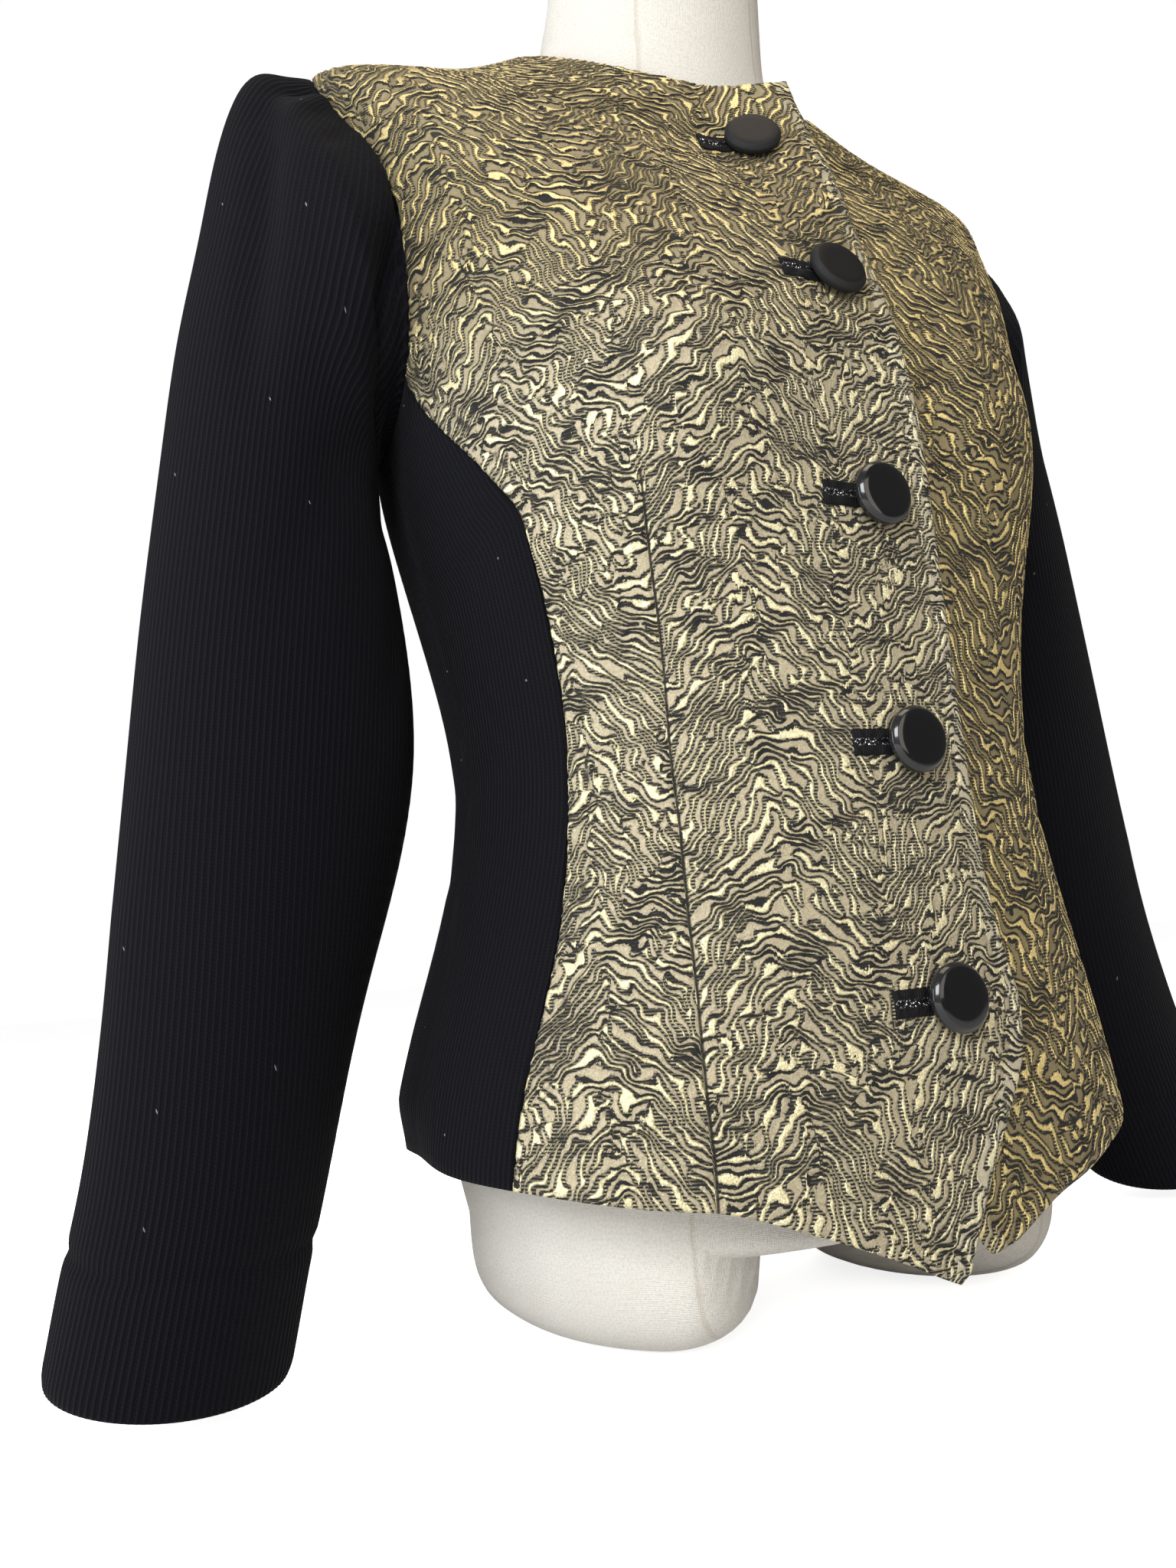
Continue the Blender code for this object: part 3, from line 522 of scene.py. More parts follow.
# ring where the dart ends, what it takes in, in cm, over how many rings, and its width in mm and depth
DART_END, DART_TAKES, DART_RINGS, DART_WIDE, DART_DEEP = 5.5, 3.2, 1.6, 1.6, 0.0009
# turning lines of the chevrons, in cm round from the centre front: a valley, a peak and so on
TURNS = (-29.5, -25.3, -21.2, -17.0, -11.4, -6.5, -2.0, 2.6, 7.2, 11.8, 16.4, 21.0, 25.6, 30.2)
# steepness of the chevrons, pitch in cm of their rough course and of the ribbons themselves
RISE, GUIDE_PITCH, PITCH = 1.05, 0.82, 0.60
# spacing and spread in cm of the patches that the ribbons are made of, and how many of them reach a point
SPACING, SIGMA, REACH = 0.31, 0.56, 5
# height of the ribbons' relief
RELIEF = 0.00040
# columns of the narrow and of the round pieces, and rows of each piece
COLUMNS, ROUND_COLUMNS = 176, 640
FRONT_ROWS, SIDE_ROWS, BACK_ROWS = (296, 160, 80), 80, (48, 28, 12)
# distance in mm over which the relief fades out at the front edge and the hem
FLAT_EDGE = 4
# border (side seam, front edge or hem), distance from it in mm and depth of the fronts' stitched lines
FRONT_LINES, LINE_WIDE = ((0, 10.0, 0.0005), (2, 11.0, 0.0006), (1, 9.0, 0.0006)), 1.3
# painted shade: how much warmer and darker the right front's colour grows upwards, from and over so many cm
# above the waist; the left front gets all of it
PAINTED_SHADE_AMOUNT, PAINTED_SHADE_FROM, PAINTED_SHADE_LENGTH = 0.85, 15.0, 11.0
# pitch and height of the knit's ribs
RIB_PITCH, RIB_RELIEF = 0.0027, 0.00012
# rings of the sleeve between which the ribs leave the course over the cap and spread evenly round the arm
CAP_END, CAP_RINGS, ARM_T = 4.5, 4.5, 6.5
# how far the knit's hem curls in, over what height, and the angles between which it starts
HEM_ROLL, HEM_ROLL_HEIGHT, HEM_ROLL_FROM, HEM_ROLL_WIDE = 0.006, 0.024, 75, 20
# ring and depth of the crease over a sleeve's hem, and the hem's own waviness
HEM_CREASE, HEM_CREASE_DEEP, HEM_WAVE = 12.85, 0.0012, 0.0006
# angles of the form's seams, and height and drop at the front of the seam round its neck, in cm
FORM_SEAMS = (-102, -34, 34, 102, 148, -148, 180, -180)
NECK_SEAM_Z, NECK_SEAM_DROP = 43.4, 3.6
# distance in mm that stands for no seam near
FAR = 99
# soft troughs and ridges: a width in mm, then places as (angle, ring) with a height in mm
FRONT_RIGHT_FOLDS = (
    (6.0, ((-56, 4.15, -0.5), (-44, 4.05, -1.0), (-33, 4.1, -0.3))),
    (5.0, ((-33, 3.76, 0.0), (-24, 3.8, -0.8), (-15, 3.72, -0.2))),
    (6.0, ((-53, 3.6, -0.4), (-41, 3.66, -0.8), (-29, 3.5, -0.2))),
    (6.0, ((-31, 4.35, 0.3), (-19, 4.4, 0.8), (-8, 4.3, 0.2))),
    (9.0, ((-67, 7.6, -1.2), (-55, 7.2, -1.0), (-44, 6.8, -0.2))),
    (8.0, ((-68, 8.3, -0.9), (-56, 8.0, -0.8), (-46, 7.7, 0.0))),
    (12.0, ((-79, 10.2, 0.3), (-60, 10.5, 0.8), (-40, 10.8, 0.2))),
    (14.0, ((-45, 2.4, 0.2), (-46, 1.8, 1.0), (-47, 1.5, 1.3))),
    (15.0, ((-29, 2.4, -0.2), (-28, 1.8, -0.9), (-28, 1.4, -1.2))),
    (10.0, ((-12, 2.9, 0.1), (-20, 2.6, 0.8), (-30, 2.5, 0.1))),
)
FRONT_LEFT_FOLDS = (
    (6.0, ((58, 4.25, -0.5), (46, 4.1, -1.0), (34, 4.2, -0.3))),
    (6.0, ((52, 3.7, -0.4), (41, 3.6, -0.9), (30, 3.72, -0.2))),
    (9.0, ((68, 7.9, -1.2), (57, 7.4, -1.0), (47, 7.2, -0.2))),
    (12.0, ((79, 10.3, 0.3), (62, 10.4, 0.8), (45, 10.9, 0.2))),
    (14.0, ((38, 2.5, 0.2), (37, 1.9, 1.0), (36, 1.6, 1.3))),
    (13.0, ((52, 2.3, -0.2), (53, 1.8, -0.9), (53, 1.5, -1.1))),
)
SIDE_FOLDS = (
    (9.0, ((78, 4.2, -0.5), (90, 4.05, -1.4), (104, 4.15, -0.5))),
    (7.0, ((84, 3.55, -0.3), (96, 3.6, -1.0), (110, 3.5, -0.3))),
    (16.0, ((92, 2.6, 0.2), (94, 1.9, 1.2), (95, 1.7, 1.4))),
)
BACK_FOLDS = (
    (18.0, ((150, 5.3, -0.4), (152, 4.2, -2.2), (149, 3.1, -0.6))),
    (18.0, ((206, 5.5, -0.4), (209, 4.1, -2.0), (212, 2.9, -0.5))),
    (9.0, ((164, 4.35, -0.4), (180, 4.2, -1.4), (198, 4.36, -0.5))),
    (8.0, ((170, 3.8, -0.2), (184, 3.72, -1.1), (200, 3.8, -0.3))),
    (14.0, ((118, 8.2, -0.6), (133, 7.9, -1.6), (150, 8.1, -0.3))),
    (13.0, ((241, 8.0, -0.6), (226, 7.7, -1.4), (211, 8.1, -0.2))),
    (15.0, ((168, 10.6, 0.2), (180, 10.4, 0.9), (195, 10.7, 0.2))),
    (22.0, ((160, 2.3, 0.3), (161, 1.8, 1.3), (161, 1.5, 1.6))),
    (20.0, ((204, 2.2, 0.2), (202, 1.8, 1.0), (201, 1.5, 1.2))),
)
# the same for the sleeves, with turns from the shoulder by the front
SLEEVE_RIGHT_FOLDS = (
    (11.0, ((40, 0.5, 2.0), (58, 0.9, 4.5), (76, 1.1, 5.5), (92, 1.4, 4.0), (106, 1.9, 0.5))),
    (11.0, ((22, 2.2, -1.5), (32, 3.3, -5.6), (43, 3.9, -6.8), (52, 4.8, -6.0), (60, 5.7, -4.0),
           (68, 6.8, 0.0))),
    (6.0, ((29, 0.5, -2.2), (26, 1.6, -3.4), (26, 2.6, -1.2))),
    (6.5, ((36, 0.3, 2.0), (36, 1.2, 4.0), (40, 2.2, 2.4), (46, 2.9, 0.0))),
    (5.0, ((50, 0.8, -0.6), (57, 1.7, -1.3), (64, 2.6, 0.0))),
    (6.5, ((98, 0.7, -1.2), (112, 1.3, -5.0), (128, 2.2, -7.5), (144, 3.3, -7.5), (156, 4.5, -4.0),
           (162, 5.4, 0.0))),
    (14.0, ((150, 4.9, -0.5), (158, 5.6, -3.5), (160, 6.4, -3.5), (150, 7.4, 0.0))),
    (14.0, ((132, 5.6, -0.6), (108, 7.0, -2.4), (92, 7.8, -1.2), (80, 8.4, 0.0))),
    (10.0, ((150, 7.7, -0.8), (142, 8.4, -2.0), (128, 9.0, -0.4))),
    (16.0, ((-20, 3.0, -0.4), (-38, 4.2, -2.6), (-52, 5.6, -1.8), (-60, 7.0, 0.0))),
    (12.0, ((-100, 1.6, -0.6), (-118, 3.0, -3.4), (-136, 4.4, -2.8), (-150, 5.6, 0.0))),
    (11.0, ((-150, 7.2, 0.0), (-128, 7.6, -2.0), (-100, 7.5, -1.4), (-80, 7.7, 0.0))),
    (10.0, ((-140, 8.8, 0.0), (-118, 8.6, -1.6), (-96, 8.8, 0.0))),
    (16.0, ((30, 9.4, 0.0), (22, 10.4, 1.4), (26, 11.8, 0.4))),
)
SLEEVE_LEFT_FOLDS = (
    (11.0, ((44, 0.6, 2.0), (64, 1.0, 4.0), (84, 1.3, 4.0), (100, 1.8, 0.5))),
    (14.0, ((20, 2.4, -0.4), (31, 3.6, -2.8), (43, 4.6, -3.2), (50, 5.8, -1.6), (58, 7.0, 0.0))),
    (6.5, ((34, 0.5, -1.2), (33, 1.6, -2.0), (36, 2.5, -0.6))),
    (7.0, ((42, 0.5, 1.0), (46, 1.5, 2.2), (54, 2.5, 0.6))),
    (8.0, ((98, 1.0, -1.0), (114, 2.1, -3.4), (132, 3.3, -4.6), (146, 4.4, -3.2), (156, 5.5, 0.0))),
    (13.0, ((140, 6.2, -0.4), (118, 7.2, -2.6), (98, 7.7, -1.0), (86, 8.0, 0.0))),
    (10.0, ((146, 8.3, 0.0), (126, 8.6, -1.8), (104, 8.5, 0.0))),
    (15.0, ((-24, 3.2, -0.4), (-42, 4.6, -2.4), (-54, 6.0, -1.2), (-62, 7.0, 0.0))),
    (12.0, ((-96, 1.5, -0.6), (-114, 2.8, -3.2), (-134, 4.2, -2.6), (-148, 5.4, 0.0))),
    (12.0, ((-146, 7.6, 0.0), (-124, 7.9, -1.8), (-98, 7.8, 0.0))),
    (16.0, ((14, 9.0, 0.0), (24, 10.2, 1.2), (20, 11.6, 0.3))),
)
# folds of the front and of the sleeve, and seed of the ribbons, on each side
SIDES = {
    "right": (FRONT_RIGHT_FOLDS, SLEEVE_RIGHT_FOLDS, 40),
    "left": (FRONT_LEFT_FOLDS, SLEEVE_LEFT_FOLDS, 140),
}
# pitch in cm of the brocade's binding threads and of its twill
THREAD, TWILL = 0.135, 0.09
# the deeper gold and olive are darker, warmer copies, painted where the cloth stands in shade
GOLD, GOLD_PAINTED_SHADE, GOLD_GREEN = (0.95, 0.84, 0.55), (0.90, 0.68, 0.27), (0.74, 0.74, 0.36)
OLIVE, OLIVE_PAINTED_SHADE, OLIVE_DARK = (0.50, 0.43, 0.29), (0.23, 0.175, 0.075), (0.20, 0.18, 0.12)
# the pale edge colour is a painted highlight along the rolled front edge
BROWN, FURROW, EDGE_PAINTED_HIGHLIGHT = (0.17, 0.14, 0.08), (0.003, 0.003, 0.003), (0.98, 0.94, 0.76)
WORN, DART_LINE = (0.012, 0.011, 0.010), (0.008, 0.008, 0.007)
# the knit's low and high colours are painted shade in its grooves and a painted highlight on its ribs and
# loops
KNIT_GROOVE_SHADE, KNIT_RIB_HIGHLIGHT, LINT = (0.0008, 0.0008, 0.0014), (0.0043, 0.0043, 0.0070), (0.16, 0.16, 0.17)
LINEN, LINEN_WARM = (0.64, 0.615, 0.57), (0.58, 0.55, 0.50)
# the seam colour is painted shade along the form's seams
LINEN_GRAIN, LINEN_SEAM_SHADE = (0.47, 0.44, 0.39), (0.42, 0.36, 0.29)
# the rim colour is a painted highlight on the buttons' bevel
BUTTON, BUTTON_RIM_HIGHLIGHT = (0.004, 0.004, 0.0045), (0.012, 0.012, 0.013)
WELT, GLINT = (0.004, 0.004, 0.005), (0.75, 0.78, 0.82)
# turn round the object, tilt and roll of the camera in degrees, its place in metres and its lens
CAMERA_TURN, CAMERA_PLACE, LENS = (-25.4, -8.7, -5.0), (-0.326, -0.5028, 0.163), 35.84
# name, place, aim, size, watts, colour
LIGHTS = (
    ("key", (-1.35, -1.45, 1.15), (0, 0, 0.33), 0.9, 46, (0.96, 0.98, 1.0)),
    ("side", (-2.0, 0.1, 0.7), (0, 0, 0.33), 1.2, 32, (0.94, 0.97, 1.0)),
    ("behind", (0.7, 2.3, 1.3), (0, 0, 0.3), 1.4, 22, (1, 1, 1)),
    ("front", (0.5, -2.2, 0.9), (0, 0, 0.35), 1.2, 12, (1.0, 0.92, 0.80)),
    ("top", (0.2, -0.5, 2.4), (0, 0, 0.4), 1.0, 13, (1.0, 0.84, 0.66)),
)
# what the white room shows of itself to the camera, and what of it lights the object
SEEN, FILL = 0.82, 0.18


def path_lengths(points, axis):
    """Distance along the lines of a grid, from 0."""
    return np.insert(np.linalg.norm(np.diff(points, axis=axis), axis=-1).cumsum(axis), 0, 0, axis=axis)


def waves(s, v, length, seed, count=22):
    """A smooth random field of unit spread with features of about that length."""
    rng = np.random.default_rng(seed)
    total = np.zeros(np.shape(s))
    for _ in range(count):
        turn = rng.uniform(0, 2 * pi)
        pace = 2 * pi / (length * rng.uniform(0.7, 1.5))
        total = total + np.cos(pace * (cos(turn) * s + sin(turn) * v) + rng.uniform(0, 2 * pi))
    return total * np.sqrt(2 / count)


def cloth_table():
    angles, ts = np.radians(np.linspace(-105, 105, 421)), np.linspace(0.5, NECK_T, 461)
    points = torso(*np.meshgrid(angles, ts, indexing="ij"))
    s, v = path_lengths(points, 0), path_lengths(points, 1)
    return angles, ts, s - s[len(angles) // 2], v - v[:, np.argmin(np.abs(ts - WAIST_T))][:, None]


CLOTH_TABLE = cloth_table()


def cloth_at(angle, t):
    """Distance round from the centre front and up from the waist, along the cloth, in cm."""
    angles, ts, s, v = CLOTH_TABLE
    i = np.interp(angle, angles, np.arange(len(angles)))
    j = np.interp(t, ts, np.arange(len(ts)))
    a, b = np.minimum(i.astype(int), len(angles) - 2), np.minimum(j.astype(int), len(ts) - 2)
    p, q = i - a, j - b
    weights = ((1 - p) * (1 - q), p * (1 - q), (1 - p) * q, p * q)
    corners = ((a, b), (a + 1, b), (a, b + 1), (a + 1, b + 1))
    return [sum(w * values[c] for w, c in zip(weights, corners)) for values in (s, v)]


def chevron(s):
    steps = np.diff(TURNS) * RISE * np.where(np.arange(len(TURNS) - 1) % 2 == 0, 1, -1)
    heights = np.concatenate([[0], steps.cumsum()])
    return sum(np.interp(s + d, TURNS, heights) for d in (-0.3, -0.15, 0, 0.15, 0.3)) / 5


def carrier(s, v):
    """Even chevrons, in ribbons counted upwards."""
    return (v - chevron(s)) / GUIDE_PITCH


def guide(s, v, seed):
    """Rough course of the ribbons, in ribbons counted upwards."""
    bent = s + 0.22 * waves(s, v, 7.0, seed + 11)
    count = carrier(bent, v) + 0.35 * waves(s, v, 6.0, seed + 5)
    return count + 0.40 * waves(s, v, 3.2, seed + 1) + 0.20 * waves(s, v, 1.6, seed + 2)


def make_lattice(s, v, seed):
    """Patches of even stripes on a jittered lattice that covers the points, each with its own course."""
    low = s.min(), v.min()
    counts = [int(np.ptp(values) / SPACING) + 2 * REACH + 3 for values in (s, v)]
    i, j = np.meshgrid(*(np.arange(n) for n in counts), indexing="ij")
    shake = np.random.default_rng(seed + 9).uniform(-0.4, 0.4, (2, *i.shape))
    x = low[0] + (i - REACH + shake[0]) * SPACING
    y = low[1] + (j - REACH + shake[1]) * SPACING
    h = 0.02
    gx = (guide(x + h, y, seed) - guide(x - h, y, seed)) / (2 * h)
    gy = (guide(x, y + h, seed) - guide(x, y - h, seed)) / (2 * h)
    size = np.hypot(gx, gy) + 1e-6
    pace = (0.35 + 0.65 * np.clip(size * PITCH, 0.55, 1.5)) / PITCH
    pace = pace * np.exp(0.1 * waves(x, y, 1.8, seed + 21))
    lattice = [low, x, y, gx / size * pace, gy / size * pace, guide(x, y, seed)]
    for _ in range(3):
        lattice[5] = np.angle(stripes(x, y, lattice, True)[0]) / (2 * pi)
    return lattice


def stripes(s, v, lattice, without_own=False):
    """Sum of the patches near each point, as a complex wave, and its slopes in s and v."""
    low, x, y, fx, fy, phase = lattice
    ci = np.floor((s - low[0]) / SPACING + REACH + 0.5).astype(int)
    cj = np.floor((v - low[1]) / SPACING + REACH + 0.5).astype(int)
    total = np.zeros((3, *s.shape), complex)
    for di in range(-REACH, REACH + 1):
        for dj in range(-REACH, REACH + 1):
            if di * di + dj * dj > REACH * REACH + 1 or (without_own and di == dj == 0):
                continue
            cell = np.clip(ci + di, 0, x.shape[0] - 1), np.clip(cj + dj, 0, x.shape[1] - 1)
            dx, dy = s - x[cell], v - y[cell]
            near = np.exp(-(dx * dx + dy * dy) / (2 * SIGMA**2))
            wave = near * np.exp(2j * pi * (phase[cell] + fx[cell] * dx + fy[cell] * dy))
            total[0] += wave
            total[1] += wave * (2j * pi * fx[cell] - dx / SIGMA**2)
            total[2] += wave * (2j * pi * fy[cell] - dy / SIGMA**2)
    return total


def ribbons(s, v, seed):
    """The ribbon wave at points of the cloth: even chevrons, the phase on top of them as (cos, sin), ribbons
    per mm, and how steep the ribbons run."""
    bent_s = s + 0.06 * waves(s, v, 1.1, seed + 31)
    bent_v = v + 0.09 * waves(s, v, 1.1, seed + 32)
    wave, slope_s, slope_v = stripes(bent_s, bent_v, make_lattice(bent_s, bent_v, seed))
    power_of = np.abs(wave) ** 2 + 1e-3
    along, up = (np.imag(np.conj(wave) * slope) / power_of / (2 * pi) for slope in (slope_s, slope_v))
    pace = np.hypot(along, up)
    even = carrier(s, v)
    phase = np.angle(wave) - 2 * pi * even
    return even, np.cos(phase), np.sin(phase), np.clip(pace / 10, 0.1, 0.6), np.abs(along) / (pace + 1e-6)


def make_mesh(name, points, faces, material):
    """A smooth mesh from one array of faces for each number of corners, turned to face out."""
    volume = 0.0
    for group in faces:
        first = points[group[:, 0]]
        for k in range(1, group.shape[1] - 1):
            volume += np.einsum("ij,ij->", first, np.cross(points[group[:, k]], points[group[:, k + 1]]))
    if volume < 0:
        faces = [group[:, ::-1] for group in faces]
    mesh = bpy.data.meshes.new(name)
    mesh.vertices.add(len(points))
    mesh.vertices.foreach_set("co", np.asarray(points, np.float32).ravel())
    corners = np.concatenate([group.ravel() for group in faces]).astype(np.int32)
    counts = np.concatenate([np.full(len(group), group.shape[1]) for group in faces])
    mesh.loops.add(len(corners))
    mesh.loops.foreach_set("vertex_index", corners)
    mesh.polygons.add(len(counts))
    mesh.polygons.foreach_set("loop_start", np.concatenate([[0], np.cumsum(counts)[:-1]]).astype(np.int32))
    mesh.update(calc_edges=True)
    mesh.polygons.foreach_set("use_smooth", np.ones(len(counts), bool))
    mesh.materials.append(material)
    return add_object(name, mesh)


def add_object(name, data):
    item = bpy.data.objects.new(name, data)
    bpy.context.scene.collection.objects.link(item)
    return item


def store(piece, name, values):
    """Stores a vector for each point of a piece."""
    attribute = piece.data.attributes.new(name, "FLOAT_VECTOR", "POINT")
    attribute.data.foreach_set("vector", values.astype(np.float32).ravel())


def keep(piece, slot, *nodes):
    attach(piece, "root")
    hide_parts(*nodes)


def grid_faces(columns, rows, start=0, closed=False):
    i = np.arange(columns if closed else columns - 1)[:, None]
    j = np.arange(rows - 1)[None]
    k = (i + 1) % columns
    quad = np.stack([i * rows + j, k * rows + j, k * rows + j + 1, i * rows + j + 1], -1)
    return start + quad.reshape(-1, 4)


def turned_faces(count, rows):
    """Quads between rings of count points, and fans round the two end points that follow the rings."""
    i, j = np.arange(count), np.arange(rows - 1) * count
    k, last, ends = (i + 1) % count, (rows - 1) * count, np.full(count, rows * count)
    a, b = j + i[:, None], j + k[:, None]
    quads = np.stack([a, b, b + count, a + count], -1).reshape(-1, 4)
    fans = np.stack([ends, k, i], -1), np.stack([ends + 1, last + i, last + k], -1)
    return [quads, np.concatenate(fans)]


def border(columns, rows, closed):
    """Index chains along the border of a grid, each with its turn."""
    low = np.arange(columns + 1 if closed else columns) % columns * rows
    chains = [low[::-1], low + rows - 1]
    if not closed:
        chains += [np.arange(rows), (columns - 1) * rows + np.arange(rows)[::-1]]
    return chains


def shell(name, outer, inner, material, closed=False):
    """A closed wall whose inner grid has one point for every STEP points of the outer one."""
    columns, rows = outer.shape[:2]
    low_columns, low_rows = inner.shape[:2]
    size = columns * rows
    quads = grid_faces(columns, rows, 0, closed), grid_faces(low_columns, low_rows, size, closed)[:, ::-1]
    strips = []
    for fine, coarse in zip(border(columns, rows, closed), border(low_columns, low_rows, closed)):
        for k in range(len(coarse) - 1):
            strips.append([*fine[k * STEP:(k + 1) * STEP + 1], size + coarse[k + 1], size + coarse[k]])
    points = np.concatenate([outer.reshape(-1, 3), inner.reshape(-1, 3)])
    return make_mesh(name, points, [np.concatenate(quads), np.array(strips)], material)


def give(piece, name, columns):
    """Stores a vector for each point of a shell: the outer grid's values, repeated on the inner grid."""
    values = np.stack(np.broadcast_arrays(*columns), -1)
    store(piece, name, np.concatenate([values.reshape(-1, 3), values[::STEP, ::STEP].reshape(-1, 3)]))


def edge_drop(columns, rows, closed=False):
    """How far the border of a grid is rolled in, in metres."""
    drop = np.zeros((columns, rows))
    for k, depth in ((0, EDGE), (1, 0.25 * EDGE)):
        ends = [k, -1 - k]
        drop[:, ends] = np.maximum(drop[:, ends], depth)
        if not closed:
            drop[ends] = np.maximum(drop[ends], depth)
    return drop


def chain_distance(points, chain):
    """Distance in mm from the grid's points to a chain of points, worked out on every fourth point."""
    coarse = points[::4, ::4]
    away = ((coarse.reshape(-1, 1, 3) - chain[None, ::2]) ** 2).sum(-1)
    gap = np.sqrt(away.min(1)).reshape(coarse.shape[:2])
    columns, rows = (np.arange(n) / 4 for n in points.shape[:2])
    low = np.array([np.interp(rows, np.arange(gap.shape[1]), row) for row in gap])
    return 1000 * np.array([np.interp(columns, np.arange(gap.shape[0]), column) for column in low.T]).T


def folds(points, at, rows):
    """Offset in metres of the points of a grid from soft troughs and ridges, whose places at finds."""
    total = np.zeros(points.shape[:2])
    for width, path in rows:
        path = np.array(path, float)
        steps = np.linspace(0, len(path) - 1, 10 * (len(path) - 1) + 1)
        first, second, height = (np.interp(steps, np.arange(len(path)), column) for column in path.T)
        own = np.zeros_like(total)
        for spot, rise in zip(at(first, second), height / 1000):
            near = rise * np.exp(-((points - spot) ** 2).sum(-1) / (width / 1000) ** 2)
            own = np.where(np.abs(near) > np.abs(own), near, own)
        total += own
    return total


def fine_front_grid(side, columns, counts):
    """(angle, ring) grid of a front with one column along the dart, and the number of that column."""
    grid = front_grid(side, columns, counts)
    share = np.linspace(0, 1, columns + 1)
    gap = np.radians(hermite(DART, grid[..., 1])) - side * grid[..., 0]
    own = round(columns * float(np.mean([np.interp(0, row, share) for row in gap.T])))
    fine = np.empty_like(grid)
    for j in range(grid.shape[1]):
        meet = np.interp(0, gap[:, j], share)
        new = np.concatenate([np.linspace(0, meet, own + 1), np.linspace(meet, 1, columns - own + 1)[1:]])
        for k in (0, 1):
            fine[:, j, k] = np.interp(new, share, grid[:, j, k])
    return fine, own


def make_front(side, name, material, rows, seed):
    grid, dart_column = fine_front_grid(side, COLUMNS, FRONT_ROWS)
    angle, t = grid[..., 0], grid[..., 1]
    face = front_face(side)
    s, v = cloth_at(angle, t)
    beyond = (np.arange(len(grid))[:, None] < dart_column) & (t < DART_END)
    taken = DART_TAKES * smooth((DART_END - t) / DART_RINGS)
    inside, outside = ribbons(s, v, seed), ribbons(s + side * taken, v, seed)
    even, cosine, sine, pace, steep = np.where(beyond, outside, inside)
    wave = np.cos(2 * pi * even + np.arctan2(sine, cosine))
    surface = face(angle, t, 0.0)
    trims = [chain_distance(surface, chain) for chain in (surface[0], surface[-1], surface[:, 0])]
    across = path_lengths(surface, 0) * 1000
    dart_gap = np.hypot(across - across[dart_column], 75 * np.maximum(t[dart_column] - DART_END, 0))
    bend = folds(surface, lambda a, b: face(np.radians(a), b), rows)
    near_edge = np.minimum(trims[1], trims[2]) / FLAT_EDGE
    out = bend - edge_drop(*angle.shape) + RELIEF * wave * np.clip(near_edge, 0, 1)
    out = out - DART_DEEP * np.exp(-((dart_gap / DART_WIDE) ** 2))
    for number, at, deep in FRONT_LINES:
        out = out - deep * np.exp(-(((trims[number] - at) / LINE_WIDE) ** 2))
    inner = face(angle[::STEP, ::STEP], t[::STEP, ::STEP], bend[::STEP, ::STEP] - CLOTH)
    piece = shell(name, face(angle, t, out), inner, material)
    give(piece, "weave", (cosine, sine, pace))
    give(piece, "cloth", (s, v, steep))
    # painted shade: the upper chest and the whole left front take the darker, warmer colours
    painted_shade = PAINTED_SHADE_AMOUNT * smooth((v - PAINTED_SHADE_FROM) / PAINTED_SHADE_LENGTH) + (1.0 if side > 0 else 0.0)
    give(piece, "even", (even, np.clip(painted_shade, 0, 1), trims[1]))
    give(piece, "trim", (trims[0], trims[2], dart_gap))
    return piece


def make_panel(name, grid, material, rows):
    """A knit panel with ribs up and down, counted from its middle."""
    angle, t = grid[..., 0], grid[..., 1]
    surface = on_torso(angle, t)
    across, up = path_lengths(surface, 0), path_lengths(surface, 1)
    rib = (across - across[(len(across) - 1) // 2]) / RIB_PITCH
    roll = smooth((np.abs(np.degrees(angle)) - HEM_ROLL_FROM) / HEM_ROLL_WIDE)
    roll = HEM_ROLL * roll * (1 - smooth(up / HEM_ROLL_HEIGHT))
    bend = folds(surface, lambda a, b: on_torso(np.radians(a), b), rows) - roll
    out = bend - edge_drop(*angle.shape) + RIB_RELIEF * (np.cos(2 * pi * rib) - 0.3)
    inner = on_torso(angle[::STEP, ::STEP], t[::STEP, ::STEP], bend[::STEP, ::STEP] - CLOTH)
    piece = shell(name, on_torso(angle, t, out), inner, material)
    give(piece, "knit", (rib, up * 100, 1.0))
    return piece


def rib_turns(points, side):
    """Turn of each point's rib on the upper arm: the ribs run straight up the sleeve and over its cap."""
    x, y, z = np.moveaxis((points - to_metres([0, 0, 0])) / CM, -1, 0)
    top_x, top_z, _, _, middle, _, _ = np.array(SLEEVE[:9])[::-1].T
    across = side * x - np.interp(z, top_z, top_x) + 6.1
    return np.arctan2(np.interp(z, top_z, middle) - y, across)


def rib_fade(rib, points):
    """How much of the relief is left where ribs crowd together, from 0 to 1."""
    count = []
    for axis in (0, 1):
        change = np.gradient(rib, axis=axis)
        if axis == 0:
            change[[0, -1]] = change[[1, -2]]
            change[np.abs(change) > 5] = 0
        count.append(np.abs(change) / np.linalg.norm(np.gradient(points, axis=axis), axis=-1))
    return smooth(1000 / np.maximum(np.hypot(*count), 1e-9) - 0.9)


def sleeve_ribs(points, turns, t, side):
    """Number of the rib at each point: straight over the cap, then spaced evenly round the arm."""
    around = path_lengths(points, 0)
    girth = around[-1] + np.linalg.norm(points[0] - points[-1], axis=-1)
    behind = turns > pi
    signed = np.where(behind, turns - 2 * pi, turns)
    order = np.argsort(signed)
    lengths = np.where(behind[:, None], around - girth, around)
    arm = int(np.argmin(np.abs(t - ARM_T)))
    cap = np.interp(rib_turns(points, side), signed[order], lengths[order, arm])
    return (cap + smooth((t - CAP_END) / CAP_RINGS) * (lengths - cap)) / RIB_PITCH


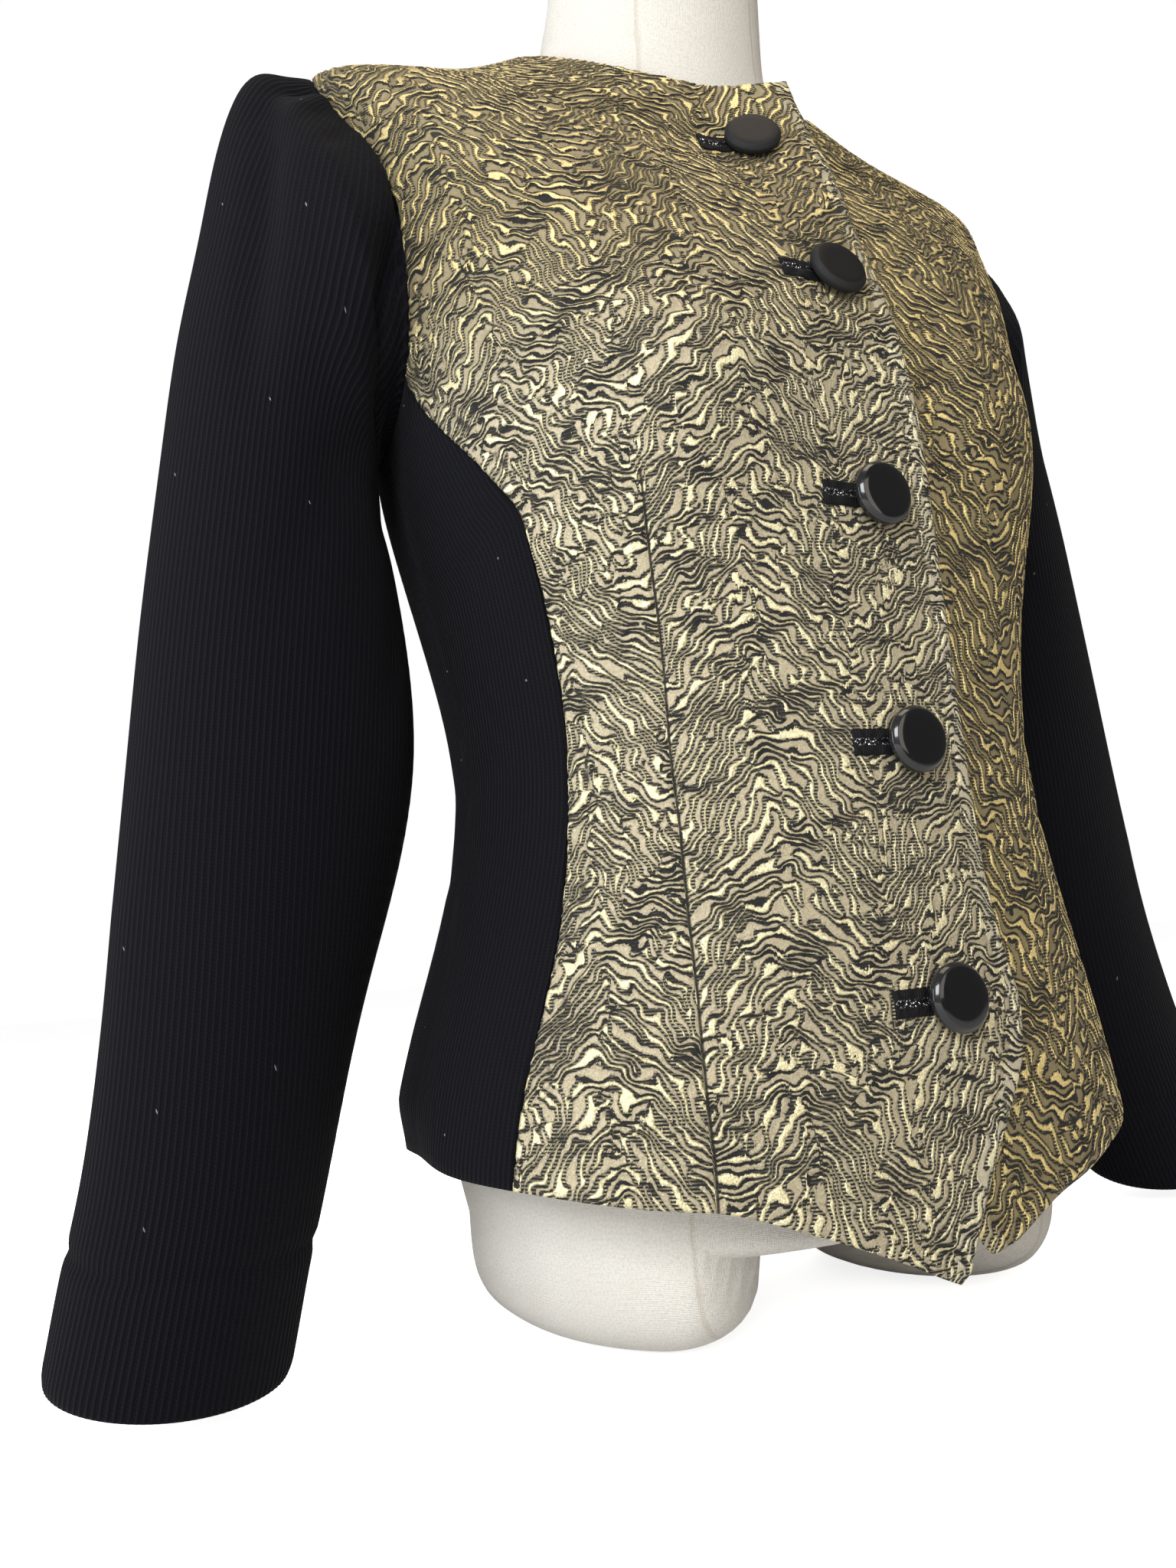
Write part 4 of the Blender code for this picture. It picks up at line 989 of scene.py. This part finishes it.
def make_sleeve(name, side, material, rows):
    t = [np.linspace(a, b, n, endpoint=False) for a, b, n in ((0, 2, 16), (2, 12.4, 80), (12.4, 14, 24))]
    t = np.concatenate([*t, [14]])
    turns = np.arange(ROUND_COLUMNS) / ROUND_COLUMNS * 2 * pi
    surface = sleeve_grid(turns, t, side)
    rib = sleeve_ribs(surface, turns, t, side)
    normal = 1000 * (sleeve_grid(turns, t, side, 0.001) - surface)
    bend = folds(surface, lambda a, b: np.einsum("iij->ij", sleeve_grid(np.radians(a), b, side)), rows)
    crease = HEM_CREASE + 0.05 * np.sin(2 * turns + 0.7 * side)[:, None]
    bend = bend - HEM_CREASE_DEEP * np.exp(-(((t - crease) / 0.085) ** 2))
    bend = bend + HEM_WAVE * np.sin(3 * turns + side)[:, None] * smooth(t - 13.0)
    bend = bend * smooth(t / 0.4)
    fade = rib_fade(rib, surface)
    out = bend + RIB_RELIEF * fade * (np.cos(2 * pi * rib) - 0.3) - edge_drop(len(turns), len(t), True)
    low = (surface + normal * (bend - CLOTH)[..., None])[::STEP, ::STEP]
    piece = shell(name, surface + normal * out[..., None], low, material, closed=True)
    give(piece, "knit", (rib, path_lengths(surface, 1) * 100, fade))
    return piece


def maths(operation, swapped=False):
    """A method of a wire that adds a Math node behind it."""

    def act(wire, *others):
        inputs = (*others, wire) if swapped else (wire, *others)
        return node(wire.socket.id_data, "Math", *inputs, operation=operation)

    return act


class Wire:
    """An output of a shader node. Reckoning with it adds Math nodes."""

    def __init__(self, socket):
        self.socket = socket

    __add__ = __radd__ = maths("ADD")
    __mul__ = __rmul__ = maths("MULTIPLY")
    __sub__, __rsub__ = maths("SUBTRACT"), maths("SUBTRACT", True)
    __truediv__, __pow__ = maths("DIVIDE"), maths("POWER")
    __gt__, __abs__ = maths("GREATER_THAN"), maths("ABSOLUTE")
    pingpong, sine, arctan2 = maths("PINGPONG"), maths("SINE"), maths("ARCTAN2")


def plug(socket, value):
    """Links a wire to a socket, or sets the socket's own value."""
    if isinstance(value, Wire):
        socket.id_data.links.new(value.socket, socket)
    elif value is not None:
        socket.default_value = (*value, 1) if socket.type == "RGBA" else value


def node(tree, kind, *inputs, out=0, named=(), **settings):
    """Adds a shader node and gives one of its outputs. Inputs are values or wires."""
    made = tree.nodes.new("ShaderNode" + kind)
    for key, value in settings.items():
        setattr(made, key, value)
    for socket, value in [*zip(made.inputs, inputs), *((made.inputs[key], value) for key, value in named)]:
        plug(socket, value)
    return Wire(made.outputs[out])


def split(kind, wire):
    parts = node(wire.socket.id_data, kind, wire).socket.node
    return [Wire(output) for output in parts.outputs]


def attribute(tree, name):
    return split("SeparateXYZ", node(tree, "Attribute", out=1, attribute_name=name))


def ramp(value, low, high, start=0.0, end=1.0):
    """A smooth step of value, from start at low to end at high."""
    tree = value.socket.id_data
    return node(tree, "MapRange", value, low, high, start, end, interpolation_type="SMOOTHSTEP")


def mix(share, first, second):
    return node(share.socket.id_data, "Mix", share, *[None] * 5, first, second, out=2, data_type="RGBA")


def noise(place, scale, detail, dimensions="2D"):
    named = (("Vector", place), ("Scale", scale), ("Detail", detail))
    return node(place.socket.id_data, "TexNoise", named=named, noise_dimensions=dimensions)


def scatter(place, scale):
    """Distance to the nearest of many scattered spots, and two random values of that spot."""
    named = (("Vector", place), ("Scale", scale))
    spots = node(place.socket.id_data, "TexVoronoi", named=named, voronoi_dimensions="2D")
    first, second, _ = split("SeparateColor", Wire(spots.socket.node.outputs[1]))
    return spots, first, second


def new_material(name, colour, roughness, metallic=0.0):
    material = bpy.data.materials.new(name)
    material.use_nodes = True
    shader = material.node_tree.nodes["Principled BSDF"]
    for key, value in (("Base Color", colour), ("Roughness", roughness), ("Metallic", metallic)):
        plug(shader.inputs[key], value)
    return material, material.node_tree, shader


def dress(shader, strength, distance, height, inputs):
    """Sets the shader's bump and some of its inputs."""
    named = (("Strength", strength), ("Distance", distance), ("Height", height))
    bump = node(shader.id_data, "Bump", named=named)
    for key, value in {**inputs, "Normal": bump}.items():
        plug(shader.inputs[key], value)


def brocade_look():
    """Gold ribbons on olive between dark furrows, with flecks, worn stitching, the dart's line, painted
    shade up the chest and over the left front, and a painted highlight along the front edge.
    """
    material, tree, shader = new_material("gold_brocade_look", (0.42, 0.33, 0.16), 0.45, 0.4)
    cosine, sine, pace = attribute(tree, "weave")
    s, v, steep = attribute(tree, "cloth")
    side_trim, _, dart_gap = attribute(tree, "trim")
    even, painted_shade, rim = attribute(tree, "even")
    place = node(tree, "CombineXYZ", s, v, 0.0)
    phase = sine.arctan2(cosine) * (0.5 / pi) + even
    away = (phase + (noise(place, 9.0, 1.0) * 0.13 - 0.065)).pingpong(0.5)
    gap = (away - (noise(place, 1.0, 1.0) * 0.22 + 0.125)) / pace
    near = abs(gap)
    width = noise(place, 3.0, 1.0) * 0.50 + 0.43
    thread = ramp((v * (2 * pi / THREAD)).sine(), -0.3, 0.6)
    furrow = ramp(near, width - 0.08, width + 0.08, 1.0, 0.0) * (1 - steep**3.0 * thread * 0.65)
    ground = ramp(gap, -0.12, 0.12)
    _, speck, hue = scatter(place, 26.0)
    twill = ((s * 1.7 + v) * (2 * pi / TWILL)).sine()
    # painted shade: darker, warmer copies of the gold and the olive are mixed in up the chest and over the
    # left front
    gold = mix(hue * 0.3, mix(painted_shade, GOLD, GOLD_PAINTED_SHADE), GOLD_GREEN)
    olive = mix(twill * 0.16 + 0.16, mix(painted_shade, OLIVE, OLIVE_PAINTED_SHADE), OLIVE_DARK)
    colour = mix(speck**1.6 * 0.62, mix(ground, gold, olive), BROWN)
    colour = mix(furrow, colour, FURROW)
    # painted highlight: a paler strip within 9 mm of the front edge, where the rolled edge would catch the
    # light
    colour = mix(ramp(rim, 8.0, 9.0, 0.16, 0.0) * (1 - furrow), colour, EDGE_PAINTED_HIGHLIGHT)
    worn = ramp(noise(place, 0.9, 3.0), 0.52, 0.68) * ramp(abs(side_trim - 9.6), 0.2, 2.4, 1.0, 0.0)
    colour = mix(worn * 0.9, colour, WORN)
    colour = mix(ramp(dart_gap, 0.25, 0.85, 0.92, 0.0), colour, DART_LINE)
    shine = (ground * -0.3 + 0.65) * (1 - furrow)
    rough = furrow * 0.5 + (speck * 0.22 + 0.30)
    puff = ramp(near, 0.15, 1.25) * (ground * -0.25 + 1.0)
    puff = noise(place, 14.0, 2.0) * 0.25 + (twill * 0.04 + puff)
    dress(shader, 1.0, 0.0013, puff, {"Base Color": colour, "Metallic": shine, "Roughness": rough})
    return material


def knit_look():
    """Black ribs with loops between them, with painted highlights on the rib tops and loops and painted
    shade in the grooves, and a little lint.
    """
    material, tree, shader = new_material("black_knit_look", (0.0065, 0.0065, 0.008), 0.85)
    rib, up, full = attribute(tree, "knit")
    away = rib.pingpong(0.5) * 2.0
    ridge = ramp(away, 0.50, 0.15)
    slant = away * -0.7 + up / 0.15
    loop = ((slant * (2 * pi)).sine() * 0.5 + 0.5) * (1 - ridge)
    # painted highlight on the rib tops and loops, painted shade in the grooves between them
    light = (loop * 0.5 + ridge * 0.75 - 0.5) * full + 0.5
    place = node(tree, "CombineXYZ", rib * (RIB_PITCH * 100), up, 0.0)
    lint, chosen, _ = scatter(place, 0.45)
    colour = mix(ramp(lint, 0.012, 0.03, 1.0, 0.0) * (chosen > 0.9), mix(light, KNIT_GROOVE_SHADE, KNIT_RIB_HIGHLIGHT), LINT)
    finish = {"Base Color": colour, "Specular IOR Level": 0.09, "Sheen Weight": 0.02, "Sheen Roughness": 0.4}
    dress(shader, 1.0, 0.00025, (loop * 0.45 + ridge) * full, finish)
    return material


def linen_look():
    """Plain woven linen with painted shade along its seams."""
    material, tree, shader = new_material("linen_look", (0.84, 0.80, 0.74), 0.85)
    across, up, seam = attribute(tree, "linen")
    place = node(tree, "CombineXYZ", across, up, 0.0)
    threads = [(value * (2 * pi / 0.07)).sine() for value in (across, up)]
    weave = noise(place, 6.0, 3.0) * 3.0 + (threads[0] + threads[1])
    weave = ramp(seam, 0.0, 1.6) * 4.0 + weave
    colour = mix(noise(place, 0.25, 4.0), LINEN, LINEN_WARM)
    colour = mix(ramp(noise(place, 8.0, 2.0), 0.35, 0.75, 0.0, 0.5), colour, LINEN_GRAIN)
    # painted shade: the linen darkens within about 2 mm of a seam
    colour = mix(ramp(seam, 0.3, 1.8, 0.4, 0.0), colour, LINEN_SEAM_SHADE)
    dress(shader, 0.7, 0.00012, weave, {"Base Color": colour, "Specular IOR Level": 0.25})
    return material


def button_look(name, roughness, coat):
    """Black plastic, worn, with a painted highlight round its rim."""
    material, tree, shader = new_material(name, BUTTON, roughness)
    worn = noise(node(tree, "TexCoord", out=3), 900.0, 3.0, "3D")
    # painted highlight: the outer rim, on the bevel, is lighter all the way round
    rim = ramp(attribute(tree, "disc")[0], 11.6, 12.2)
    rough = worn * 0.12 + (rim * 0.10 + (roughness - 0.06))
    finish = {"Specular IOR Level": 0.18, "Coat Weight": coat, "Coat Roughness": 0.06, "Roughness": rough}
    dress(shader, 0.25, 0.00003, worn, {"Base Color": mix(rim, BUTTON, BUTTON_RIM_HIGHLIGHT), **finish})
    return material


def welt_look():
    """Black piping that glints in the slit between its lips."""
    material, tree, shader = new_material("welt_black_look", WELT, 0.7)
    along, across, _ = attribute(tree, "welt")
    place = node(tree, "CombineXYZ", along, across / 10.0, 0.0)
    _, grain, _ = scatter(place, 26.0)
    glint = (grain > 0.86) * ramp(abs(across), 0.9, 1.7, 1.0, 0.0)
    ridge = noise(place, 18.0, 2.0) * 2.0 + (along * (2 * pi / 0.11)).sine()
    finish = {"Specular IOR Level": 0.15, "Roughness": glint * -0.45 + 0.7, "Metallic": glint}
    dress(shader, 0.8, 0.0001, ridge, {"Base Color": mix(glint, WELT, GLINT), **finish})
    return material


def build_cloth():
    gold, knit = brocade_look(), knit_look()
    made = {}
    for side, name in ((-1, "right"), (1, "left")):
        front_folds, sleeve_folds, seed = SIDES[name]
        side_folds = [(width, [(side * a, b, c) for a, b, c in path]) for width, path in SIDE_FOLDS]
        made["front_" + name] = make_front(side, f"front_{name}_cloth", gold, front_folds, seed)
        grid = side_grid(side, COLUMNS, SIDE_ROWS)
        made["side_" + name] = make_panel(f"side_{name}_cloth", grid, knit, side_folds)
        made["sleeve_" + name] = make_sleeve(f"sleeve_{name}_cloth", side, knit, sleeve_folds)
    made["back"] = make_panel("back_cloth", back_grid(ROUND_COLUMNS, BACK_ROWS), knit, BACK_FOLDS)
    for node_name, piece in made.items():
        keep(piece, "brocade_gold" if "front" in node_name else "knit_black", node_name)
    return made


def make_form(material):
    """The form's linen face, on the solid's own rings with more points, and its seams."""
    count = 180
    coarse = form_rings(count)
    coarse[0, :, 2] = WAIST_Z + FORM_LOW_Z * CM
    last = len(coarse) - 1
    rings = cubic(coarse.reshape(last + 1, -1))(np.linspace(0, last, 6 * last + 1)).reshape(-1, count, 3)
    caps, bottom = underside(rings[0], 1 - (1 - np.linspace(0.02, 0.98, 44)) ** 2)
    rows = np.concatenate([caps, rings])
    points = np.concatenate([rows.reshape(-1, 3), [bottom, rows[-1].mean(axis=0)]])
    piece = make_mesh("dress_form_cover", points, turned_faces(count, len(rows)), material)
    turn = np.broadcast_to(np.arange(count) * 2 * pi / count, rows.shape[:2])
    turn = np.where(turn > pi, turn - 2 * pi, turn)
    reach = np.hypot(rows[..., 0], rows[..., 1] - 0.01) * 1000
    neck_z = WAIST_Z + (NECK_SEAM_Z - NECK_SEAM_DROP * np.maximum(np.cos(turn), 0) ** Z_FALL) * CM
    gaps = [np.abs(turn - radians(at)) * reach for at in FORM_SEAMS] + [np.abs(rows[..., 2] - neck_z) * 1000]
    values = np.stack([turn * reach / 10, rows[..., 2] * 100, np.minimum(np.min(gaps, axis=0), FAR)], -1)
    store(piece, "linen", np.concatenate([values.reshape(-1, 3), [[0, 0, FAR], [0, 0, FAR]]]))
    keep(piece, "linen", "dress_form")


def button_frame(height):
    """Place on the right front's face and its axes: along, up and out."""
    t = t_at_front(height)
    face = front_face(-1)
    angle = float(angle_at(0.0, t))
    along = face(angle + 0.02, t) - face(angle - 0.02, t)
    up = face(angle, t + 0.02) - face(angle, t - 0.02)
    out = unit(np.cross(along, up))
    along = unit(along)
    return face(angle, t), along, np.cross(out, along), out


def lathe(name, place, along, up, out, profile, material, count=96):
    """A turned solid round the axis out of place. The profile runs from the axis to the axis."""
    rows = np.array(profile, float)[1:-1]
    turns = np.arange(count) * 2 * pi / count
    ring = np.cos(turns)[:, None] * along + np.sin(turns)[:, None] * up
    points = place + rows[:, 0, None, None] * ring + rows[:, 1, None, None] * out
    ends = [place + out * profile[0][1], place + out * profile[-1][1]]
    points = np.concatenate([points.reshape(-1, 3), ends])
    piece = make_mesh(name, points, turned_faces(count, len(rows)), material)
    spread = np.append(np.repeat(rows[:, 0], count), [0, 0]) * 1000
    store(piece, "disc", np.stack([spread, spread * 0, spread * 0], -1))
    return piece


def make_buttons(front):
    """Flat round buttons with a bevel, and the bound buttonholes that they are sewn over."""
    matt, glossy = button_look("button_matt_look", 0.55, 0.0), button_look("button_gloss_look", 0.12, 0.6)
    welt = welt_look()
    faces = [face.vertices for face in front.data.polygons]
    tree = BVHTree.FromPolygons([vertex.co for vertex in front.data.vertices], faces)
    top, low, wide, bevel = BUTTON_STAND + BUTTON_THICK, BUTTON_STAND, BUTTON_RADIUS, BUTTON_BEVEL
    profile = (
        (0, WELT_RISE), (SHANK_RADIUS, WELT_RISE), (SHANK_RADIUS, low), (wide - 0.0020, low),
        (wide - 0.0006, low + 0.0003), (wide, low + 0.0012), (wide, top - bevel - 0.0002),
        (wide - 0.00012, top - bevel + 0.00012), (wide - bevel * 0.92, top - 0.00012),
        (wide - bevel * 1.06, top), (wide * 0.6, top), (0, top),
    )
    for number, height in enumerate(BUTTON_HEIGHTS, 1):
        point, along, up, out = button_frame(height)
        seat = np.array(tree.ray_cast(Vector(point + out * 0.03), Vector(-out))[0])
        look = matt if number < 3 else glossy
        button = lathe(f"button_{number}_disc", seat, along, up, out, profile, look)
        keep(button, "button_black", f"button_{number}")
        hole = make_buttonhole(f"buttonhole_{number}_welt", point, along, up, out, tree, welt)
        keep(hole, "welt_black", f"buttonhole_{number}")


def make_buttonhole(name, point, along, up, out, tree, material):
    """Two rolled lips with a slit between them, laid on the right front."""
    reach, across = np.linspace(WELT_PAST - WELT_LENGTH, WELT_PAST, 49), np.linspace(-1, 1, 33)
    spots = np.empty((len(reach), len(across), 3))
    for i, distance in enumerate(reach):
        for j, share in enumerate(across):
            start = point + along * distance + up * share * WELT_HALF + out * 0.03
            spots[i, j] = tree.ray_cast(Vector(start), Vector(-out))[0]
    ends = np.clip(np.minimum(reach - reach[0], reach[-1] - reach) / 0.0012, 0, 1)[:, None]
    lip = np.sqrt(np.clip(1 - ((np.abs(across) - 0.52) / 0.48) ** 2, 0, 1))[None]
    wave = 0.12 * np.sin(reach / 0.0021)[:, None] * np.sign(across)[None]
    rise = WELT_RISE * (0.15 + (0.95 + wave) * lip) * (0.35 + 0.65 * np.sqrt(ends))
    outer = spots + out * (SEAM_GAP + rise)[..., None]
    piece = shell(name, outer, (spots + out * SEAM_GAP)[::STEP, ::STEP], material)
    give(piece, "welt", ((reach * 100)[:, None], (across * WELT_HALF * 1000)[None], rise * 0))
    return piece


def make_camera():
    az, el, roll = np.radians(CAMERA_TURN)
    back = np.array([sin(az) * cos(el), -cos(az) * cos(el), sin(el)])
    right = np.array([cos(az), sin(az), 0.0])
    up = np.cross(back, right)
    turned = cos(roll) * right + sin(roll) * up, cos(roll) * up - sin(roll) * right
    data = bpy.data.cameras.new("camera")
    data.lens, data.sensor_width, data.sensor_fit = LENS, 36.0, "HORIZONTAL"
    data.clip_start, data.clip_end = 0.01, 100
    camera = add_object("camera", data)
    rotation = Matrix(np.stack([*turned, back], -1).tolist())
    camera.matrix_world = Matrix.Translation(CAMERA_PLACE) @ rotation.to_4x4()
    bpy.context.scene.camera = camera


def add_light(name, place, aim, size, power_watts, colour):
    data = bpy.data.lights.new(name, "AREA")
    data.size, data.energy, data.color = size, power_watts, colour
    light = add_object(name, data)
    light.location = place
    light.rotation_mode = "QUATERNION"
    light.rotation_quaternion = (Vector(aim) - Vector(place)).to_track_quat("-Z", "Y")


def make_stage():
    """A white floor and room that light the object less than they show."""
    mesh = bpy.data.meshes.new("floor")
    mesh.from_pydata([(-20, -20, 0), (20, -20, 0), (20, 20, 0), (-20, 20, 0)], [], [(0, 1, 2, 3)])
    floor = add_object("floor", mesh)
    material, tree, shader = new_material("floor_look", (0.9, 0.9, 0.9), 0.8)
    plug(shader.inputs["Emission Color"], (1, 1, 1))
    plug(shader.inputs["Emission Strength"], node(tree, "LightPath") * SEEN)
    mesh.materials.append(material)
    world = bpy.data.worlds.new("white")
    bpy.context.scene.world = world
    world.use_nodes = True
    background = world.node_tree.nodes["Background"]
    plug(background.inputs["Color"], (1, 1, 1))
    plug(background.inputs["Strength"], node(world.node_tree, "LightPath") * SEEN + FILL)
    for light in LIGHTS:
        add_light(*light)


cloth = build_cloth()
make_buttons(cloth["front_right"])
make_form(linen_look())
make_camera()
make_stage()
bpy.context.scene.view_settings.view_transform = "Standard"
